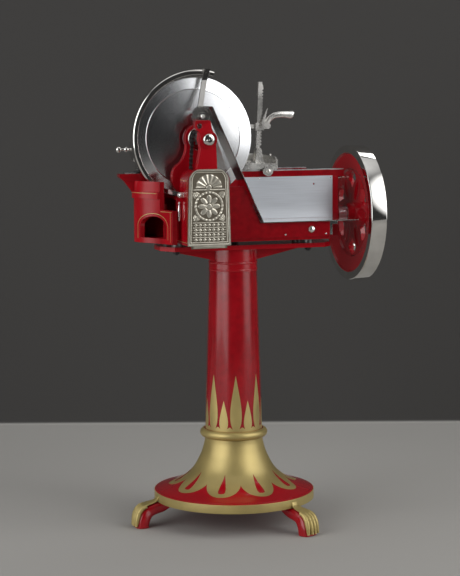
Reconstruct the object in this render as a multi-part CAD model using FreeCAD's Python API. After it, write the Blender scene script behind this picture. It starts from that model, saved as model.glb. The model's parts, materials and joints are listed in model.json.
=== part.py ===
import FreeCAD, Part
import math
import os

# Hand-cranked flywheel meat slicer on a cast pedestal. Millimetres, +Z up, the floor at Z = 0.
# It is laid out about the pedestal's own axis: the flywheel stands at +X, the slices fall on
# the -Y side and the carriage runs along X on the +Y side of the blade. finish() then moves
# everything so that the middle of the whole footprint is the origin.

# ---- pedestal -------------------------------------------------------------------------------
RIM_R = 235.0
RIM_TOP = 97.0
RIM_H = 25.0
BASE_WALL = 10.0
BELL_R = 84.0
BELL_TOP = 253.0
BEAD_R = 12.5
WEB_DEPTH = 16.0
WEB_T = 12.0
COLUMN_TOP_R = 70.0
COLUMN_WALL = 8.0
COLUMN_TOP = 743.0
COLLAR_H = 29.0
COLLAR_PROUD = 2.0
HEAD_TOP = 822.0
HEAD_PLATE_T = 13.0
HEAD_LEFT = 228.0
HEAD_RIGHT = 284.0
HEAD_HALF_Y = 80.0
HEAD_CORNER = 30.0
GUSSET_REACH = 212.0
GUSSET_T = 16.0
GUSSET_DROP = 36.0
TIE_R = 8.0
TIE_CLEAR = 0.5
NUT_AF = 26.0
NUT_H = 12.0
FOOT_REACH = 77.0
FOOT_TUCK = 49.0
FOOT_KNEE = 62.0
FOOT_HALF = 28.0
LEG_HALF = 17.0
TOE_GROOVE = 3.0
FOOT_ANGLES = {"left": 180.0, "front": -60.0, "rear": 60.0}

# ---- machine base ---------------------------------------------------------------------------
PAD_H = 12.0
PAD_R = 15.0
BOLT_R = 5.0
BOLT_CLEAR = 0.4
BOLT_X = (-184.0, 215.0)
BOLT_Y = 48.0
WALL = 9.0
FLOOR_T = 8.0
END_X = -236.0
BOW = 55.0
BOW_Y = 15.0
END_WALL = 14.0
FRONT_Y = -131.0
CORNER_H = 96.0
STEP_Y = -78.0
REAR_Y = 150.0
DECK_H = 131.0
DECK_LEFT_Y = -46.0
SILL_DROP = 22.0
BED_H = 175.0
BED_RIGHT = 330.0
BED_FRONT = 8.0
TROUGH_FRONT = -95.0
TROUGH_RIGHT = 265.0
TROUGH_H = 52.0
ARCH_Y = -57.0
ARCH_HALF = 44.0
ARCH_SILL = 15.0
ARCH_SPRING = 46.0
ARCH_RISE = 31.0
CORNICE_H = 20.0
CORNICE_Z = 126.0
CORNICE_PROUD = 6.0
BOSS_R = 30.0
BOSS_L = 22.0

# ---- rails and carriage ---------------------------------------------------------------------
RAIL_W = 22.0
RAIL_H = 20.0
RAIL_LEFT = -336.0
RAIL_RIGHT = 349.0
REAR_RAIL_RIGHT = 275.0
RAIL_STRIP = 2.5
GUSSET_H = 40.0
LIP_SLOPE = 50.0
BED_GAP = 0.4
CARRIAGE_X = (-60.0, 140.0)
CARRIAGE_T = 13.0
KEEPER = 7.0
CRANK_R = 55.0
CRANK_T = 10.0
CRANK_PIN_R = 5.0
CRANK_PIN_L = 10.0
CRANK_EYE = 12.0
CRANK_Y = 106.0
ROD_GAP = 1.0
ROD_T = 8.0
ROD_L = 232.2
ROD_W = 16.0
LUG_W = 20.0
LUG_T = 11.0
TRAVEL = 55.0
SLOT_CLEAR = 3.0
ROD_DIP = 20.0

# ---- meat table -----------------------------------------------------------------------------
TABLE_X = (-70.0, 140.0)
TABLE_FRONT = 1.8
TABLE_BACK = 215.0
TABLE_T = 5.0
TABLE_LIFT = 0.5
SKIRT_T = 4.0
SKIRT_DROP = 10.0
FENCE_T = 5.0
FENCE_H = 21.0
LIP_H = 1.0
SPIKE_PITCH = 8.0
SPIKE_H = 5.0
CAM_X = 109.0
CAM_Z = 1029.0
CAM_R = 14.5
SCREW_R = 4.0
POST_X = 98.5
POST_Y = 60.0
POST_W = 16.0
POST_D = 11.0
POST_TOP = 1288.0
POST_LEAN = 2.5
PIVOT_H = 36.0
RACK_PITCH = 9.0
RACK_DEPTH = 4.5
CLAMP_Z = 1157.0
CLAMP_WALL = 5.0
CLAMP_H = 21.0
CLAMP_GAP = 0.35
LEVER_T = 12.0
PAWL_T = 4.0

# ---- shafts, gears and chain ----------------------------------------------------------------
SHAFT_Y = 60.0
SHAFT_Z = 896.5
SHAFT_R = 12.0
RUN_CLEAR = 0.05
LAY_X = -121.0
LAY_FRONT = -100.0
LAY_R = 9.0
GEAR_TEETH = 24
GEAR_R = 39.0
GEAR_FACE = 15.0
GEAR_BACKLASH = 0.80
HUB_R = 19.0
HUB_L = 14.0
CHAIN_Y = -90.0
CHAIN_PITCH = 12.7
UPPER_TEETH = 13
LOWER_TEETH = 20
ROLLER_R = 3.6
CHAIN_GAP = 0.35
LINK_T = 1.6
LINK_H = 8.4
LINK_GAP = 0.5
SPROCKET_T = 5.0
TOOTH_H = 4.2

# ---- blade and its head ---------------------------------------------------------------------
BLADE_Z = 1129.0
BLADE_R = 177.0
BLADE_EDGE_Y = -4.0
BEVEL_R = 140.0
BLADE_HUB_R = 45.0
BLADE_T = 3.6
BEVEL_RISE = 8.0
DISH_RISE = 14.0
FLANGE_R = 34.0
FLANGE_T = 8.0
ARBOR_R = 11.0
BOX_LEFT = -190.0
BOX_RIGHT = -67.0
BOX_FRONT = -185.0
BOX_BACK = -76.0
BOX_SHOULDER = -108.0
BOX_TOP = 1046.0
BOX_ROUND = 34.0
BOX_WALL = 7.0
FRONT_WALL = (-162.0, -136.0)
REAR_WALL = (-75.0, -53.0)
HEAD_BOSS_R = 25.0
REAR_BOSS_R = 42.0
HEAD_TOP_Z = 1183.0
NECK_HALF = 22.0
CAP_R = 17.0
CAP_L = 9.0
BUSH_T = 4.0
EAR_R = 14.0
STUD_X = -118.0
STUD_Z = 1192.0
STUD_R = 6.0
WHEEL_NUT_R = 30.5
WHEEL_NUT_T = 12.0
WHEEL_NUT_TEETH = 22
PLAQUE_W = (116.0, 126.0)
PLAQUE_BOTTOM = 834.0
PLAQUE_T = 4.0
PLAQUE_RIM = 6.0
APRON_W = 105.0
APRON_DROP = 8.0
APRON_T = 3.0
HANDLE_Y = -120.0
HANDLE_Z = 950.0
HANDLE_L = 50.0
HANDLE_R = 5.5

# ---- guard ----------------------------------------------------------------------------------
GUARD_X = -108.0
GUARD_ROOM = 18.0
GUARD_LIP = 14.0
GUARD_T = 2.4
GUARD_Y = (-27.0, 0.0)
GUARD_FROM = 76.0
GUARD_TO = 230.0
CLAMP_ANGLE = 83.5
CLAMP_CAP = 2.0
CLAMP_D = 7.0
STRUT_W = 15.0
STRUT_OFFSET = 10.0
STRUT_T = 6.0
STRAP_T = 2.5
STRAP_W = 12.0
STRAP_END_Y = -148.0
STRAP_END_Z = 975.0

# ---- receiving side -------------------------------------------------------------------------
SHELF_Z = 889.0
BRACKET_H = 40.5
SHELF_T = 2.5
SHELF_X = (59.0, 350.0)
SHELF_Y = (-110.0, 1.5)
RAMP_TOP = (-92.0, 1221.0)
RAMP_BACK = -30.0
SPLASH_T = 2.5
SPLASH_X = (22.0, 312.0)
SPLASH_TOP = 1011.8
SPLASH_HOLE_X = 253.0
SPLASH_HOLE_DROP = 23.8
COVER_T = 4.0
COVER_LEFT = -62.0
COVER_RIGHT = 264.5
COVER_TOP = 992.0
COVER_GAP = 8.0
COVER_SCREW_R = 10.0
COVER_SCREW_X = 208.0

# ---- flywheel -------------------------------------------------------------------------------
WHEEL_X = 379.0
WHEEL_R = 201.0
WHEEL_W = 48.0
RIM_RING = 23.0
ANNULUS_IN = 127.0
WEB_OFFSET = 14.0
WHEEL_WEB = 14.0
PETALS = 6
OPENING_IN = 74.0
OPENING_HALF = 31.0
WHEEL_HUB_R = 27.0
WHEEL_HUB_L = 58.0
CRANK_ANGLE = -54.0
CRANK_THROW = 135.0
SPINDLE_R = 8.0
SPINDLE_L = 95.0
GRIP_R = 15.0

# ---- dial -----------------------------------------------------------------------------------
DIAL_X = -268.0
DIAL_Y = 120.0
DIAL_Z = 1094.0
DIAL_R = 38.0
DIAL_T = 9.0
KNOB_REACH = 50.0
KNOB_R = 9.0
POST_T = 12.0

# ---- sizes worked out from those above ------------------------------------------------------
V = FreeCAD.Vector
BASE_Z = HEAD_TOP + PAD_H
DECK_Z = BASE_Z + DECK_H
BED_Z = BASE_Z + BED_H
RAIL_Z = BED_Z + RAIL_H
TRACK_Z = RAIL_Z + RAIL_STRIP
REAR_RAIL_Y = REAR_Y - RAIL_W
CARRIAGE_Z = TRACK_Z + BED_GAP
TABLE_Z = CARRIAGE_Z + CARRIAGE_T + TABLE_LIFT
TABLE_TOP = TABLE_Z + TABLE_T
FOOT_TIP = RIM_R + FOOT_REACH
FOOT_ROOT = RIM_R - FOOT_TUCK
COLUMN_R = BELL_R - 1.0
COLUMN_BASE = BELL_TOP + 2 * BEAD_R
COLLAR_TOP = COLUMN_TOP + COLLAR_H
GUARD_R = BLADE_R + GUARD_ROOM
WHEEL_RIGHT = WHEEL_X + WHEEL_W
CRANK_PIN_Y = CRANK_Y + CRANK_T
ROD_Y = CRANK_PIN_Y + CRANK_PIN_L + ROD_GAP
LUG_X = LAY_X + math.sqrt(ROD_L ** 2 - CRANK_R ** 2)
HANDLE_END = WHEEL_RIGHT + SPINDLE_L
CRANK_CENTRE = (SHAFT_Y + CRANK_THROW * math.cos(math.radians(-CRANK_ANGLE)),
                SHAFT_Z + CRANK_THROW * math.sin(math.radians(CRANK_ANGLE)))
FRAME_X = (RAIL_LEFT + HANDLE_END) / 2.0


# ---- helpers --------------------------------------------------------------------------------
def block(x, y, z):
    return Part.makeBox(x[1] - x[0], y[1] - y[0], z[1] - z[0], V(x[0], y[0], z[0]))


AXES = {"x": V(1, 0, 0), "y": V(0, 1, 0), "z": V(0, 0, 1)}


def at(axis, across, along):
    """Point with its two coordinates across the axis, in X, Y, Z order, and the one along it."""
    a, b = across
    return {"x": V(along, a, b), "y": V(a, along, b), "z": V(a, b, along)}[axis]


def bar(axis, across, r, start, end):
    return Part.makeCylinder(r, end - start, at(axis, across, start), AXES[axis])


def ring(axis, across, r_out, r_in, start, end):
    return bar(axis, across, r_out, start, end).cut(bar(axis, across, r_in, start - 1, end + 1))


def prism(axis, outline, start, end):
    """Solid of a closed polygon, in X, Y, Z order across the axis, between two planes."""
    points = [at(axis, p, start) for p in outline]
    face = Part.Face(Part.makePolygon(points + points[:1]))
    return face.extrude(AXES[axis] * (end - start))


def turned(axis, across, profile):
    """Polygon of (radius, distance along the axis) points turned about the axis."""
    side = {"x": V(0, 1, 0), "y": V(1, 0, 0), "z": V(1, 0, 0)}[axis]
    centre = at(axis, across, 0.0)
    points = [centre + side * r + AXES[axis] * t for r, t in profile]
    face = Part.Face(Part.makePolygon(points + points[:1]))
    return face.revolve(centre, AXES[axis], 360)


def curved(points):
    spline = Part.BSplineCurve()
    spline.interpolate(points)
    return spline.toShape()


def line(a, b):
    return Part.makeLine(a, b)


def hexagon(axis, across, flats, start, end):
    r = flats / math.sqrt(3)
    a, b = across
    corners = [(a + r * math.cos(math.radians(60 * i)), b + r * math.sin(math.radians(60 * i)))
               for i in range(6)]
    return prism(axis, corners, start, end)


def join(shapes):
    shapes = list(shapes)
    return shapes[0].multiFuse(shapes[1:]).removeSplitter()


def polar(radius, degrees, across=(0.0, 0.0)):
    t = math.radians(degrees)
    return across[0] + radius * math.cos(t), across[1] + radius * math.sin(t)


# ---- pedestal -------------------------------------------------------------------------------
def pedestal_base():
    """Dished disc with a banded rim, swept up into a bell and closed by a half-round bead."""
    reach = RIM_R - 9 - BELL_R
    rise = BELL_TOP - RIM_TOP - 3
    flare = [(BELL_R + reach * a, RIM_TOP + 3 + rise * b) for a, b in
             ((1, 0), (0.62, 0.11), (0.29, 0.34), (0.10, 0.64), (0.02, 0.87), (0, 1))]
    inner = [(r - BASE_WALL, z - BASE_WALL * 0.6) for r, z in flare]
    rim_in = RIM_R - BASE_WALL
    rim_foot = RIM_TOP - RIM_H
    outside = curved([V(r, 0, z) for r, z in flare])
    inside = curved([V(r, 0, z) for r, z in inner])
    outline = [line(V(rim_in - 9, 0, rim_foot), V(RIM_R, 0, rim_foot)),
               line(V(RIM_R, 0, rim_foot), V(RIM_R, 0, RIM_TOP)),
               line(V(RIM_R, 0, RIM_TOP), V(flare[0][0], 0, flare[0][1])),
               outside,
               line(V(BELL_R, 0, BELL_TOP), V(inner[-1][0], 0, inner[-1][1])),
               inside,
               line(V(inner[0][0], 0, inner[0][1]), V(rim_in - 9, 0, rim_foot))]
    shell = Part.Face(Part.Wire(outline)).revolve(V(0, 0, 0), AXES["z"], 360)
    bore = BELL_R - BASE_WALL
    bead = Part.makeTorus(BELL_R + 2, BEAD_R, V(0, 0, BELL_TOP + BEAD_R))
    seat = ring("z", (0, 0), BELL_R + 2, bore, BELL_TOP - 8, BELL_TOP + 2 * BEAD_R)
    web_top = BELL_TOP - WEB_DEPTH
    web = ring("z", (0, 0), BELL_R - 3, TIE_R + TIE_CLEAR, web_top - WEB_T, web_top)
    body = join([shell, seat, web])
    return body.fuse(bead.cut(bar("z", (0, 0), bore, BELL_TOP - 1, COLUMN_BASE + 1)))


def paw_foot(angle):
    """Cast leg from under the rim over a knee to a paw with four toes."""
    rim_foot = RIM_TOP - RIM_H
    top = [V(RIM_R + beyond, 0, z) for beyond, z in
           ((0.3, rim_foot + 14), (17, rim_foot - 6), (39, FOOT_KNEE), (57, FOOT_KNEE - 13),
            (FOOT_REACH - 8, FOOT_KNEE - 36), (FOOT_REACH, 8))]
    heel = [V(RIM_R + beyond, 0, z) for beyond, z in
            ((29, 0), (27, 16), (20, 30), (3, rim_foot - 36), (-21, rim_foot - 28),
             (-FOOT_TUCK, rim_foot))]
    outline = [curved(top), line(top[-1], V(FOOT_TIP - 3, 0, 0)),
               line(V(FOOT_TIP - 3, 0, 0), heel[0]), curved(heel),
               line(heel[-1], V(RIM_R + 0.3, 0, rim_foot)),
               line(V(RIM_R + 0.3, 0, rim_foot), top[0])]
    side = Part.Face(Part.Wire(outline)).extrude(V(0, 2 * FOOT_HALF, 0))
    side.translate(V(0, -FOOT_HALF, 0))
    plan = [(FOOT_ROOT - 5, LEG_HALF - 3), (RIM_R, LEG_HALF), (RIM_R + 33, LEG_HALF + 3),
            (FOOT_TIP - 26, FOOT_HALF - 1), (FOOT_TIP - 10, FOOT_HALF),
            (FOOT_TIP + 2, FOOT_HALF - 9)]
    right = curved([V(x, y, 0) for x, y in plan])
    left = curved([V(x, -y, 0) for x, y in plan])
    ends = [line(V(plan[k][0], -plan[k][1], 0), V(*plan[k], 0)) for k in (0, -1)]
    shadow = Part.Face(Part.Wire([right, ends[1], left, ends[0]])).extrude(V(0, 0, 100))
    foot = side.common(shadow)
    for k in (-1, 0, 1):
        y = k * FOOT_HALF * 0.5
        groove = prism("y", [(FOOT_TIP - 28, FOOT_KNEE), (FOOT_TIP + 6, FOOT_KNEE - 38),
                             (FOOT_TIP + 6, -1), (FOOT_TIP - 8, -1),
                             (FOOT_TIP - 14, FOOT_KNEE - 40), (FOOT_TIP - 31, FOOT_KNEE - 10)],
                       y - TOE_GROOVE / 2, y + TOE_GROOVE / 2)
        foot = foot.cut(groove)
    foot.rotate(V(0, 0, 0), AXES["z"], angle)
    return foot


def pedestal_column():
    top_in = COLUMN_TOP_R - COLUMN_WALL
    return turned("z", (0, 0), [(COLUMN_R, COLUMN_BASE), (COLUMN_TOP_R, COLUMN_TOP),
                                (top_in, COLUMN_TOP), (COLUMN_R - COLUMN_WALL, COLUMN_BASE)])


def column_collar():
    r = COLUMN_TOP_R
    proud = r + COLLAR_PROUD
    inner = r - COLUMN_WALL
    low = COLUMN_TOP
    high = COLLAR_TOP
    return turned("z", (0, 0), [(inner, low), (r + 1, low), (proud, low + 3), (proud, low + 7),
                                (r + 1, low + 10), (r + 1, high - 8), (proud, high - 5),
                                (proud, high - 2), (r + 1, high), (inner, high)])


def pedestal_head():
    """Neck, bolting plate and two gusseted wings in one casting."""
    low = HEAD_TOP - HEAD_PLATE_T
    neck = ring("z", (0, 0), COLUMN_TOP_R, COLUMN_TOP_R - COLUMN_WALL, COLLAR_TOP, low)
    c = HEAD_CORNER
    y = HEAD_HALF_Y
    plate = prism("z", [(-HEAD_LEFT, -y + 1.6 * c), (-HEAD_LEFT + c, -y),
                        (HEAD_RIGHT - c, -y), (HEAD_RIGHT, -y + c),
                        (HEAD_RIGHT, y - c), (HEAD_RIGHT - c, y),
                        (-HEAD_LEFT + c, y), (-HEAD_LEFT, y - 1.6 * c)], low, HEAD_TOP)
    gussets = []
    for side in (-1, 1):
        start = side * (COLUMN_TOP_R - COLUMN_WALL / 2)
        for y_mid in (-COLUMN_TOP_R * 0.35, COLUMN_TOP_R * 0.35):
            outline = [(start * 0.75, low), (side * GUSSET_REACH, low),
                       (start * 0.75, low - GUSSET_DROP)]
            rib = prism("y", outline, y_mid - GUSSET_T / 2, y_mid + GUSSET_T / 2)
            gussets.append(rib.cut(bar("z", (0, 0), COLUMN_TOP_R - COLUMN_WALL / 2,
                                       low - GUSSET_DROP - 1, low)))
    head = join([neck, plate] + gussets)
    for x, y_bolt in bolt_places():
        head = head.cut(bar("z", (x, y_bolt), BOLT_R + BOLT_CLEAR, low - 1, HEAD_TOP + 1))
    return head.cut(bar("z", (0, 0), TIE_R + TIE_CLEAR, low - 1, HEAD_TOP + 1))


def tie_rod():
    low = BELL_TOP - WEB_DEPTH - WEB_T
    rod = bar("z", (0, 0), TIE_R, low - 1.6 * NUT_H, HEAD_TOP + PAD_H * 0.9)
    nuts = [hexagon("z", (0, 0), NUT_AF, low - NUT_H, low),
            hexagon("z", (0, 0), NUT_AF, HEAD_TOP, HEAD_TOP + NUT_H)]
    return join([rod] + nuts)


def bolt_places():
    return [(x, y) for x in BOLT_X for y in (-BOLT_Y, BOLT_Y)]


def head_pads():
    return Part.makeCompound([ring("z", p, PAD_R, BOLT_R + BOLT_CLEAR, HEAD_TOP, BASE_Z)
                              for p in bolt_places()])


def head_bolts():
    low = HEAD_TOP - HEAD_PLATE_T
    top = BASE_Z + FLOOR_T
    bolts = []
    for p in bolt_places():
        shank = bar("z", p, BOLT_R, low - NUT_H, top)
        bolts.append(join([shank, hexagon("z", p, 17.0, low - 8, low),
                           hexagon("z", p, 17.0, top, top + 7)]))
    return Part.makeCompound(bolts)


# ---- machine base ---------------------------------------------------------------------------
def bowed_end(inset):
    """Plan of the left end from front to back: nearly straight, then swelling out to a bow."""
    front = BOW_Y - FRONT_Y
    back = REAR_Y - BOW_Y
    shape = [(-0.30, -1.0), (-0.06, -0.75), (0.42, -0.44), (0.87, -0.17), (1.0, 0.0)]
    shape += [(0.91, 0.17), (0.47, 0.48), (0.08, 0.81), (0.0, 1.0)]
    return [V(END_X + inset - BOW * k, BOW_Y + (front if s < 0 else back) * s, 0)
            for k, s in shape]


def end_prism(inset, front, back, x_right, low, high):
    """Solid bounded by the bowed end on its left and straight on its other sides."""
    left = bowed_end(inset)
    far = BED_RIGHT
    frame = [curved(left), line(left[-1], V(far, REAR_Y, 0)),
             line(V(far, REAR_Y, 0), V(far, FRONT_Y, 0)), line(V(far, FRONT_Y, 0), left[0])]
    solid = Part.Face(Part.Wire(frame)).extrude(V(0, 0, high - low))
    solid.translate(V(0, 0, low))
    return solid.common(block((-500, x_right), (front, back), (low - 1, high + 1)))


def end_skin(front, low, high):
    """The bowed end as a wall of its own thickness."""
    inside = end_prism(END_WALL, FRONT_Y, REAR_Y, -100, low - 1, high + 1)
    return end_prism(0, front, REAR_Y, END_X + END_WALL * 2.5, low, high).cut(inside)


def base_frame():
    """Main casting: bowed end, deck under the blade, bed for the rails and a front trough."""
    low = BASE_Z
    inner = low + FLOOR_T
    deck_right = COVER_LEFT + 2
    deck_front = BOX_BACK + 1
    split = BOX_LEFT - 0.3
    solids = [end_skin(FRONT_Y, low, low + CORNER_H), end_skin(STEP_Y, low, BED_Z),
              end_prism(END_WALL / 2, DECK_LEFT_Y, REAR_Y, split + 1, low, DECK_Z),
              block((split, deck_right), (deck_front, REAR_Y), (low, DECK_Z)),
              block((END_X, BED_RIGHT), (BED_FRONT, REAR_Y), (low, BED_Z)),
              block((deck_right - 1, TROUGH_RIGHT), (TROUGH_FRONT, BED_FRONT + 1),
                    (low, low + TROUGH_H))]
    body = join(solids)
    for space in base_rooms(inner, deck_right, deck_front, split):
        body = body.cut(space)
    return cut_base(join([body, cornice()] + bearing_bosses(inner)), low)


def base_rooms(inner, deck_right, deck_front, split):
    """Hollows of the casting, one for each of its blocks."""
    deck_roof = DECK_Z - FLOOR_T
    return [end_prism(END_WALL, DECK_LEFT_Y + WALL, REAR_Y - WALL, split + 1, inner, deck_roof),
            block((split - 20, deck_right + 20), (deck_front + WALL, REAR_Y - WALL),
                  (inner, deck_roof)),
            block((END_X + WALL, BED_RIGHT - WALL), (BED_FRONT + WALL, REAR_Y - WALL),
                  (inner, BED_Z - FLOOR_T)),
            block((deck_right - 2, TROUGH_RIGHT - WALL), (TROUGH_FRONT + WALL, BED_FRONT + 22),
                  (inner, BASE_Z + TROUGH_H - FLOOR_T))]


def bearing_bosses(inner):
    """Bosses and pillars inside the casting that carry the two shafts."""
    deck_front = BOX_BACK + 1
    return [bar("x", (SHAFT_Y, SHAFT_Z), BOSS_R, BED_RIGHT - 2 * WALL, BED_RIGHT + BOSS_L - WALL),
            block((-52, -34), (SHAFT_Y - 26, SHAFT_Y + 26), (inner - 1, SHAFT_Z + BOSS_R)),
            block((LAY_X - 17, LAY_X + 17), (CRANK_Y - 16, CRANK_Y - 4),
                  (inner - 1, SHAFT_Z + 20)),
            bar("y", (LAY_X, SHAFT_Z), 20, deck_front + WALL / 2, deck_front + WALL + 12)]


def cornice():
    """Moulded band round the outside of the bowed end."""
    low = BASE_Z + CORNICE_Z
    band = end_prism(-CORNICE_PROUD, STEP_Y, REAR_Y, END_X + 3, low, low + CORNICE_H)
    return band.cut(end_prism(WALL / 2, FRONT_Y, REAR_Y, -100, low - 1, low + CORNICE_H + 1))


def cut_base(body, low):
    """Openings: arch, blade slot, shaft bores, crank slot, drive slot and bolt holes."""
    arch = [(ARCH_Y - ARCH_HALF, low + ARCH_SILL), (ARCH_Y + ARCH_HALF, low + ARCH_SILL)]
    for k in range(13):
        a = math.radians(15 * k)
        arch.append((ARCH_Y + ARCH_HALF * math.cos(a), low + ARCH_SPRING + ARCH_RISE * math.sin(a)))
    cuts = [prism("x", arch, -320, END_X + 16), blade_slot(),
            block((END_X, BOX_LEFT), (DECK_LEFT_Y - 1, GUARD_Y[0] - 3), (DECK_Z - SILL_DROP, BED_Z)),
            bar("x", (SHAFT_Y, SHAFT_Z), bush_r(SHAFT_R), -60, BED_RIGHT + 60),
            bar("y", (LAY_X, SHAFT_Z), bush_r(LAY_R), BOX_BACK - 5, CRANK_Y - 1)]
    crank_reach = CRANK_R + CRANK_EYE + SLOT_CLEAR
    cuts.append(block((LAY_X - crank_reach, LAY_X + crank_reach + ROD_DIP),
                      (CRANK_Y - SLOT_CLEAR, REAR_Y - WALL), (low - 1, low + FLOOR_T + 1)))
    slot_half = LUG_W / 2 + TRAVEL + SLOT_CLEAR
    cuts.append(block((LUG_X - slot_half, LUG_X + slot_half),
                      (ROD_Y - LUG_T - 2 * SLOT_CLEAR, ROD_Y + ROD_T + SLOT_CLEAR),
                      (BED_Z - FLOOR_T - 1, BED_Z + 1)))
    for p in bolt_places():
        cuts.append(bar("z", p, BOLT_R + BOLT_CLEAR, low - 1, low + FLOOR_T + 1))
    for tool in cuts:
        body = body.cut(tool)
    return body


def blade_slot():
    """Room for the lower part of the blade and its guard, open upwards."""
    front = GUARD_Y[0] - 4.0
    back = BED_FRONT - 0.1
    low = BLADE_Z - GUARD_R - 6.0
    slot = block((GUARD_X - GUARD_R * 0.86, LAY_X + GUARD_R * 0.70), (front, back),
                 (low, BED_Z + 5))
    return slot.common(end_prism(END_WALL, front - 1, back + 1, TROUGH_RIGHT, low, BED_Z + 5))


def bush_r(shaft):
    return shaft + BUSH_T


def splash_plate():
    """Thin steel sheet on the front of the bed, with one small hole."""
    plate = block(SPLASH_X, (BED_FRONT - SPLASH_T, BED_FRONT),
                  (SHELF_Z, SPLASH_TOP))
    hole = (SPLASH_HOLE_X, SPLASH_TOP - SPLASH_HOLE_DROP)
    return plate.cut(bar("y", hole, 2.5, 0, 20))


def ramp_point(z):
    """X of the ramp's upper face at a height."""
    share = (z - SHELF_Z) / (RAMP_TOP[1] - SHELF_Z)
    return SHELF_X[0] + (RAMP_TOP[0] - SHELF_X[0]) * share


def receiving_shelf():
    """One bent sheet: the flat tray for slices and the ramp that guides them off the blade."""
    dx = RAMP_TOP[0] - SHELF_X[0]
    dz = RAMP_TOP[1] - SHELF_Z
    length = math.hypot(dx, dz)
    nx, nz = -dz / length * SHELF_T, dx / length * SHELF_T
    bend = SHELF_T * (length + dx) / dz
    outline = [(SHELF_X[1], SHELF_Z), SHELF_X[:1] + (SHELF_Z,), RAMP_TOP,
               (RAMP_TOP[0] + nx, RAMP_TOP[1] + nz), (SHELF_X[0] - bend, SHELF_Z - SHELF_T),
               (SHELF_X[1], SHELF_Z - SHELF_T)]
    sheet = prism("y", outline, SHELF_Y[0], SHELF_Y[1])
    keep_back = block((-200, ramp_point(SHELF_Z) + 1), (RAMP_BACK, 20), (SHELF_Z + 22, 1400))
    return sheet.cut(keep_back)


def side_cover():
    """Sheet panel that closes the space under the ramp, its edge following the ramp."""
    low = BASE_Z + 8
    top = SHELF_Z - SHELF_T - 0.3
    outline = [(COVER_LEFT, low), (COVER_RIGHT, low), (COVER_RIGHT, top),
               (ramp_point(top) - COVER_GAP, top),
               (ramp_point(COVER_TOP) - COVER_GAP, COVER_TOP), (COVER_LEFT, COVER_TOP)]
    return prism("y", outline, TROUGH_FRONT - COVER_T, TROUGH_FRONT)


def cover_screw():
    """Domed finger screw through the cover and the bracket block of the shelf."""
    y = TROUGH_FRONT - COVER_T
    across = (COVER_SCREW_X, BASE_Z + 30)
    r = COVER_SCREW_R
    return turned("y", across, [(0, y), (r, y), (r, y - 3), (r * 0.72, y - 6.5), (0, y - 8)])


def shelf_bracket():
    """Nickel block that carries the free end of the tray off the trough."""
    x = TROUGH_RIGHT
    arm = block((x, x + 26), (-92, -70), (SHELF_Z - SHELF_T - 10, SHELF_Z - SHELF_T))
    leg = block((x, x + 10), (-92, -70), (SHELF_Z - SHELF_T - BRACKET_H, SHELF_Z - SHELF_T))
    return arm.fuse(leg)


# ---- rails and carriage ---------------------------------------------------------------------
def front_rail():
    """Bed rail with a pointed left end over a gusset that runs down to the bowed end."""
    y0 = BED_FRONT
    y1 = BED_FRONT + RAIL_W
    body = block((RAIL_LEFT, RAIL_RIGHT), (y0, y1), (BED_Z, RAIL_Z))
    tip = RAIL_LEFT + LIP_SLOPE * 0.3
    nose = prism("y", [(RAIL_LEFT - 1, BED_Z - 1), (tip, BED_Z - 1), (RAIL_LEFT - 1, RAIL_Z - 8)],
                 y0 - 1, y1 + 1)
    web = prism("y", [(tip, BED_Z + 1), (tip, BED_Z), (END_X - BOW, BED_Z - GUSSET_H),
                      (END_X, BED_Z - GUSSET_H), (END_X, BED_Z + 1)], y0 + 6, y1 - 6)
    casting = end_prism(-0.05, FRONT_Y, REAR_Y, END_X + 1, BED_Z - GUSSET_H - 1, BED_Z)
    band = end_prism(-CORNICE_PROUD - 0.05, STEP_Y, REAR_Y, END_X + 1, BASE_Z + CORNICE_Z - 1,
                     BASE_Z + CORNICE_Z + CORNICE_H + 0.05)
    return body.cut(nose).fuse(web.cut(casting).cut(band)).removeSplitter()


def rear_rail():
    return block((END_X, REAR_RAIL_RIGHT), (REAR_RAIL_Y, REAR_Y), (BED_Z, RAIL_Z))


def rail_strips():
    """Bright wearing strips, one let on to the top of each rail."""
    inset = 3.0
    front = block((RAIL_LEFT + 20, RAIL_RIGHT), (BED_FRONT + inset, BED_FRONT + RAIL_W - inset),
                  (RAIL_Z, TRACK_Z))
    rear = block((END_X + 20, REAR_RAIL_RIGHT),
                 (REAR_RAIL_Y + inset, REAR_RAIL_Y + RAIL_W - inset), (RAIL_Z, TRACK_Z))
    return Part.makeCompound([front, rear])


def carriage():
    """Saddle that slides on both strips, with keepers inside the rails and the drive lug."""
    x0, x1 = CARRIAGE_X
    z0 = CARRIAGE_Z
    z1 = z0 + CARRIAGE_T
    y0 = BED_FRONT + 3
    y1 = REAR_Y - 3
    saddle = block((x0, x1), (y0, y1), (z0, z1))
    window = block((x0 + 34, x1 - 34), (y0 + 34, y1 - 34), (z0 - 1, z1 + 1))
    inner = [BED_FRONT + RAIL_W + BED_GAP, REAR_RAIL_Y - BED_GAP - KEEPER]
    keepers = [block((x, x + 36), (y, y + KEEPER), (z0 - RAIL_H * 0.6, z0 + 1))
               for y in inner for x in (x0 + 4, x1 - 40)]
    lug = block((LUG_X - LUG_W / 2, LUG_X + LUG_W / 2), (ROD_Y - LUG_T - 1, ROD_Y - 1),
                (SHAFT_Z - 14, z0 + 2))
    pin = bar("y", (LUG_X, SHAFT_Z), CRANK_PIN_R, ROD_Y - 2, ROD_Y + ROD_T + 2)
    x, z = feed_axis()
    nut = block((x - 14, x + 14), (y1 - 1, REAR_Y + 8), (z0, z1))
    body = join([saddle.cut(window), lug, pin, nut] + carriage_apron() + keepers)
    return body.cut(bar("y", (x, z), SCREW_R + 0.3, SHAFT_Y, REAR_Y + 20))


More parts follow.
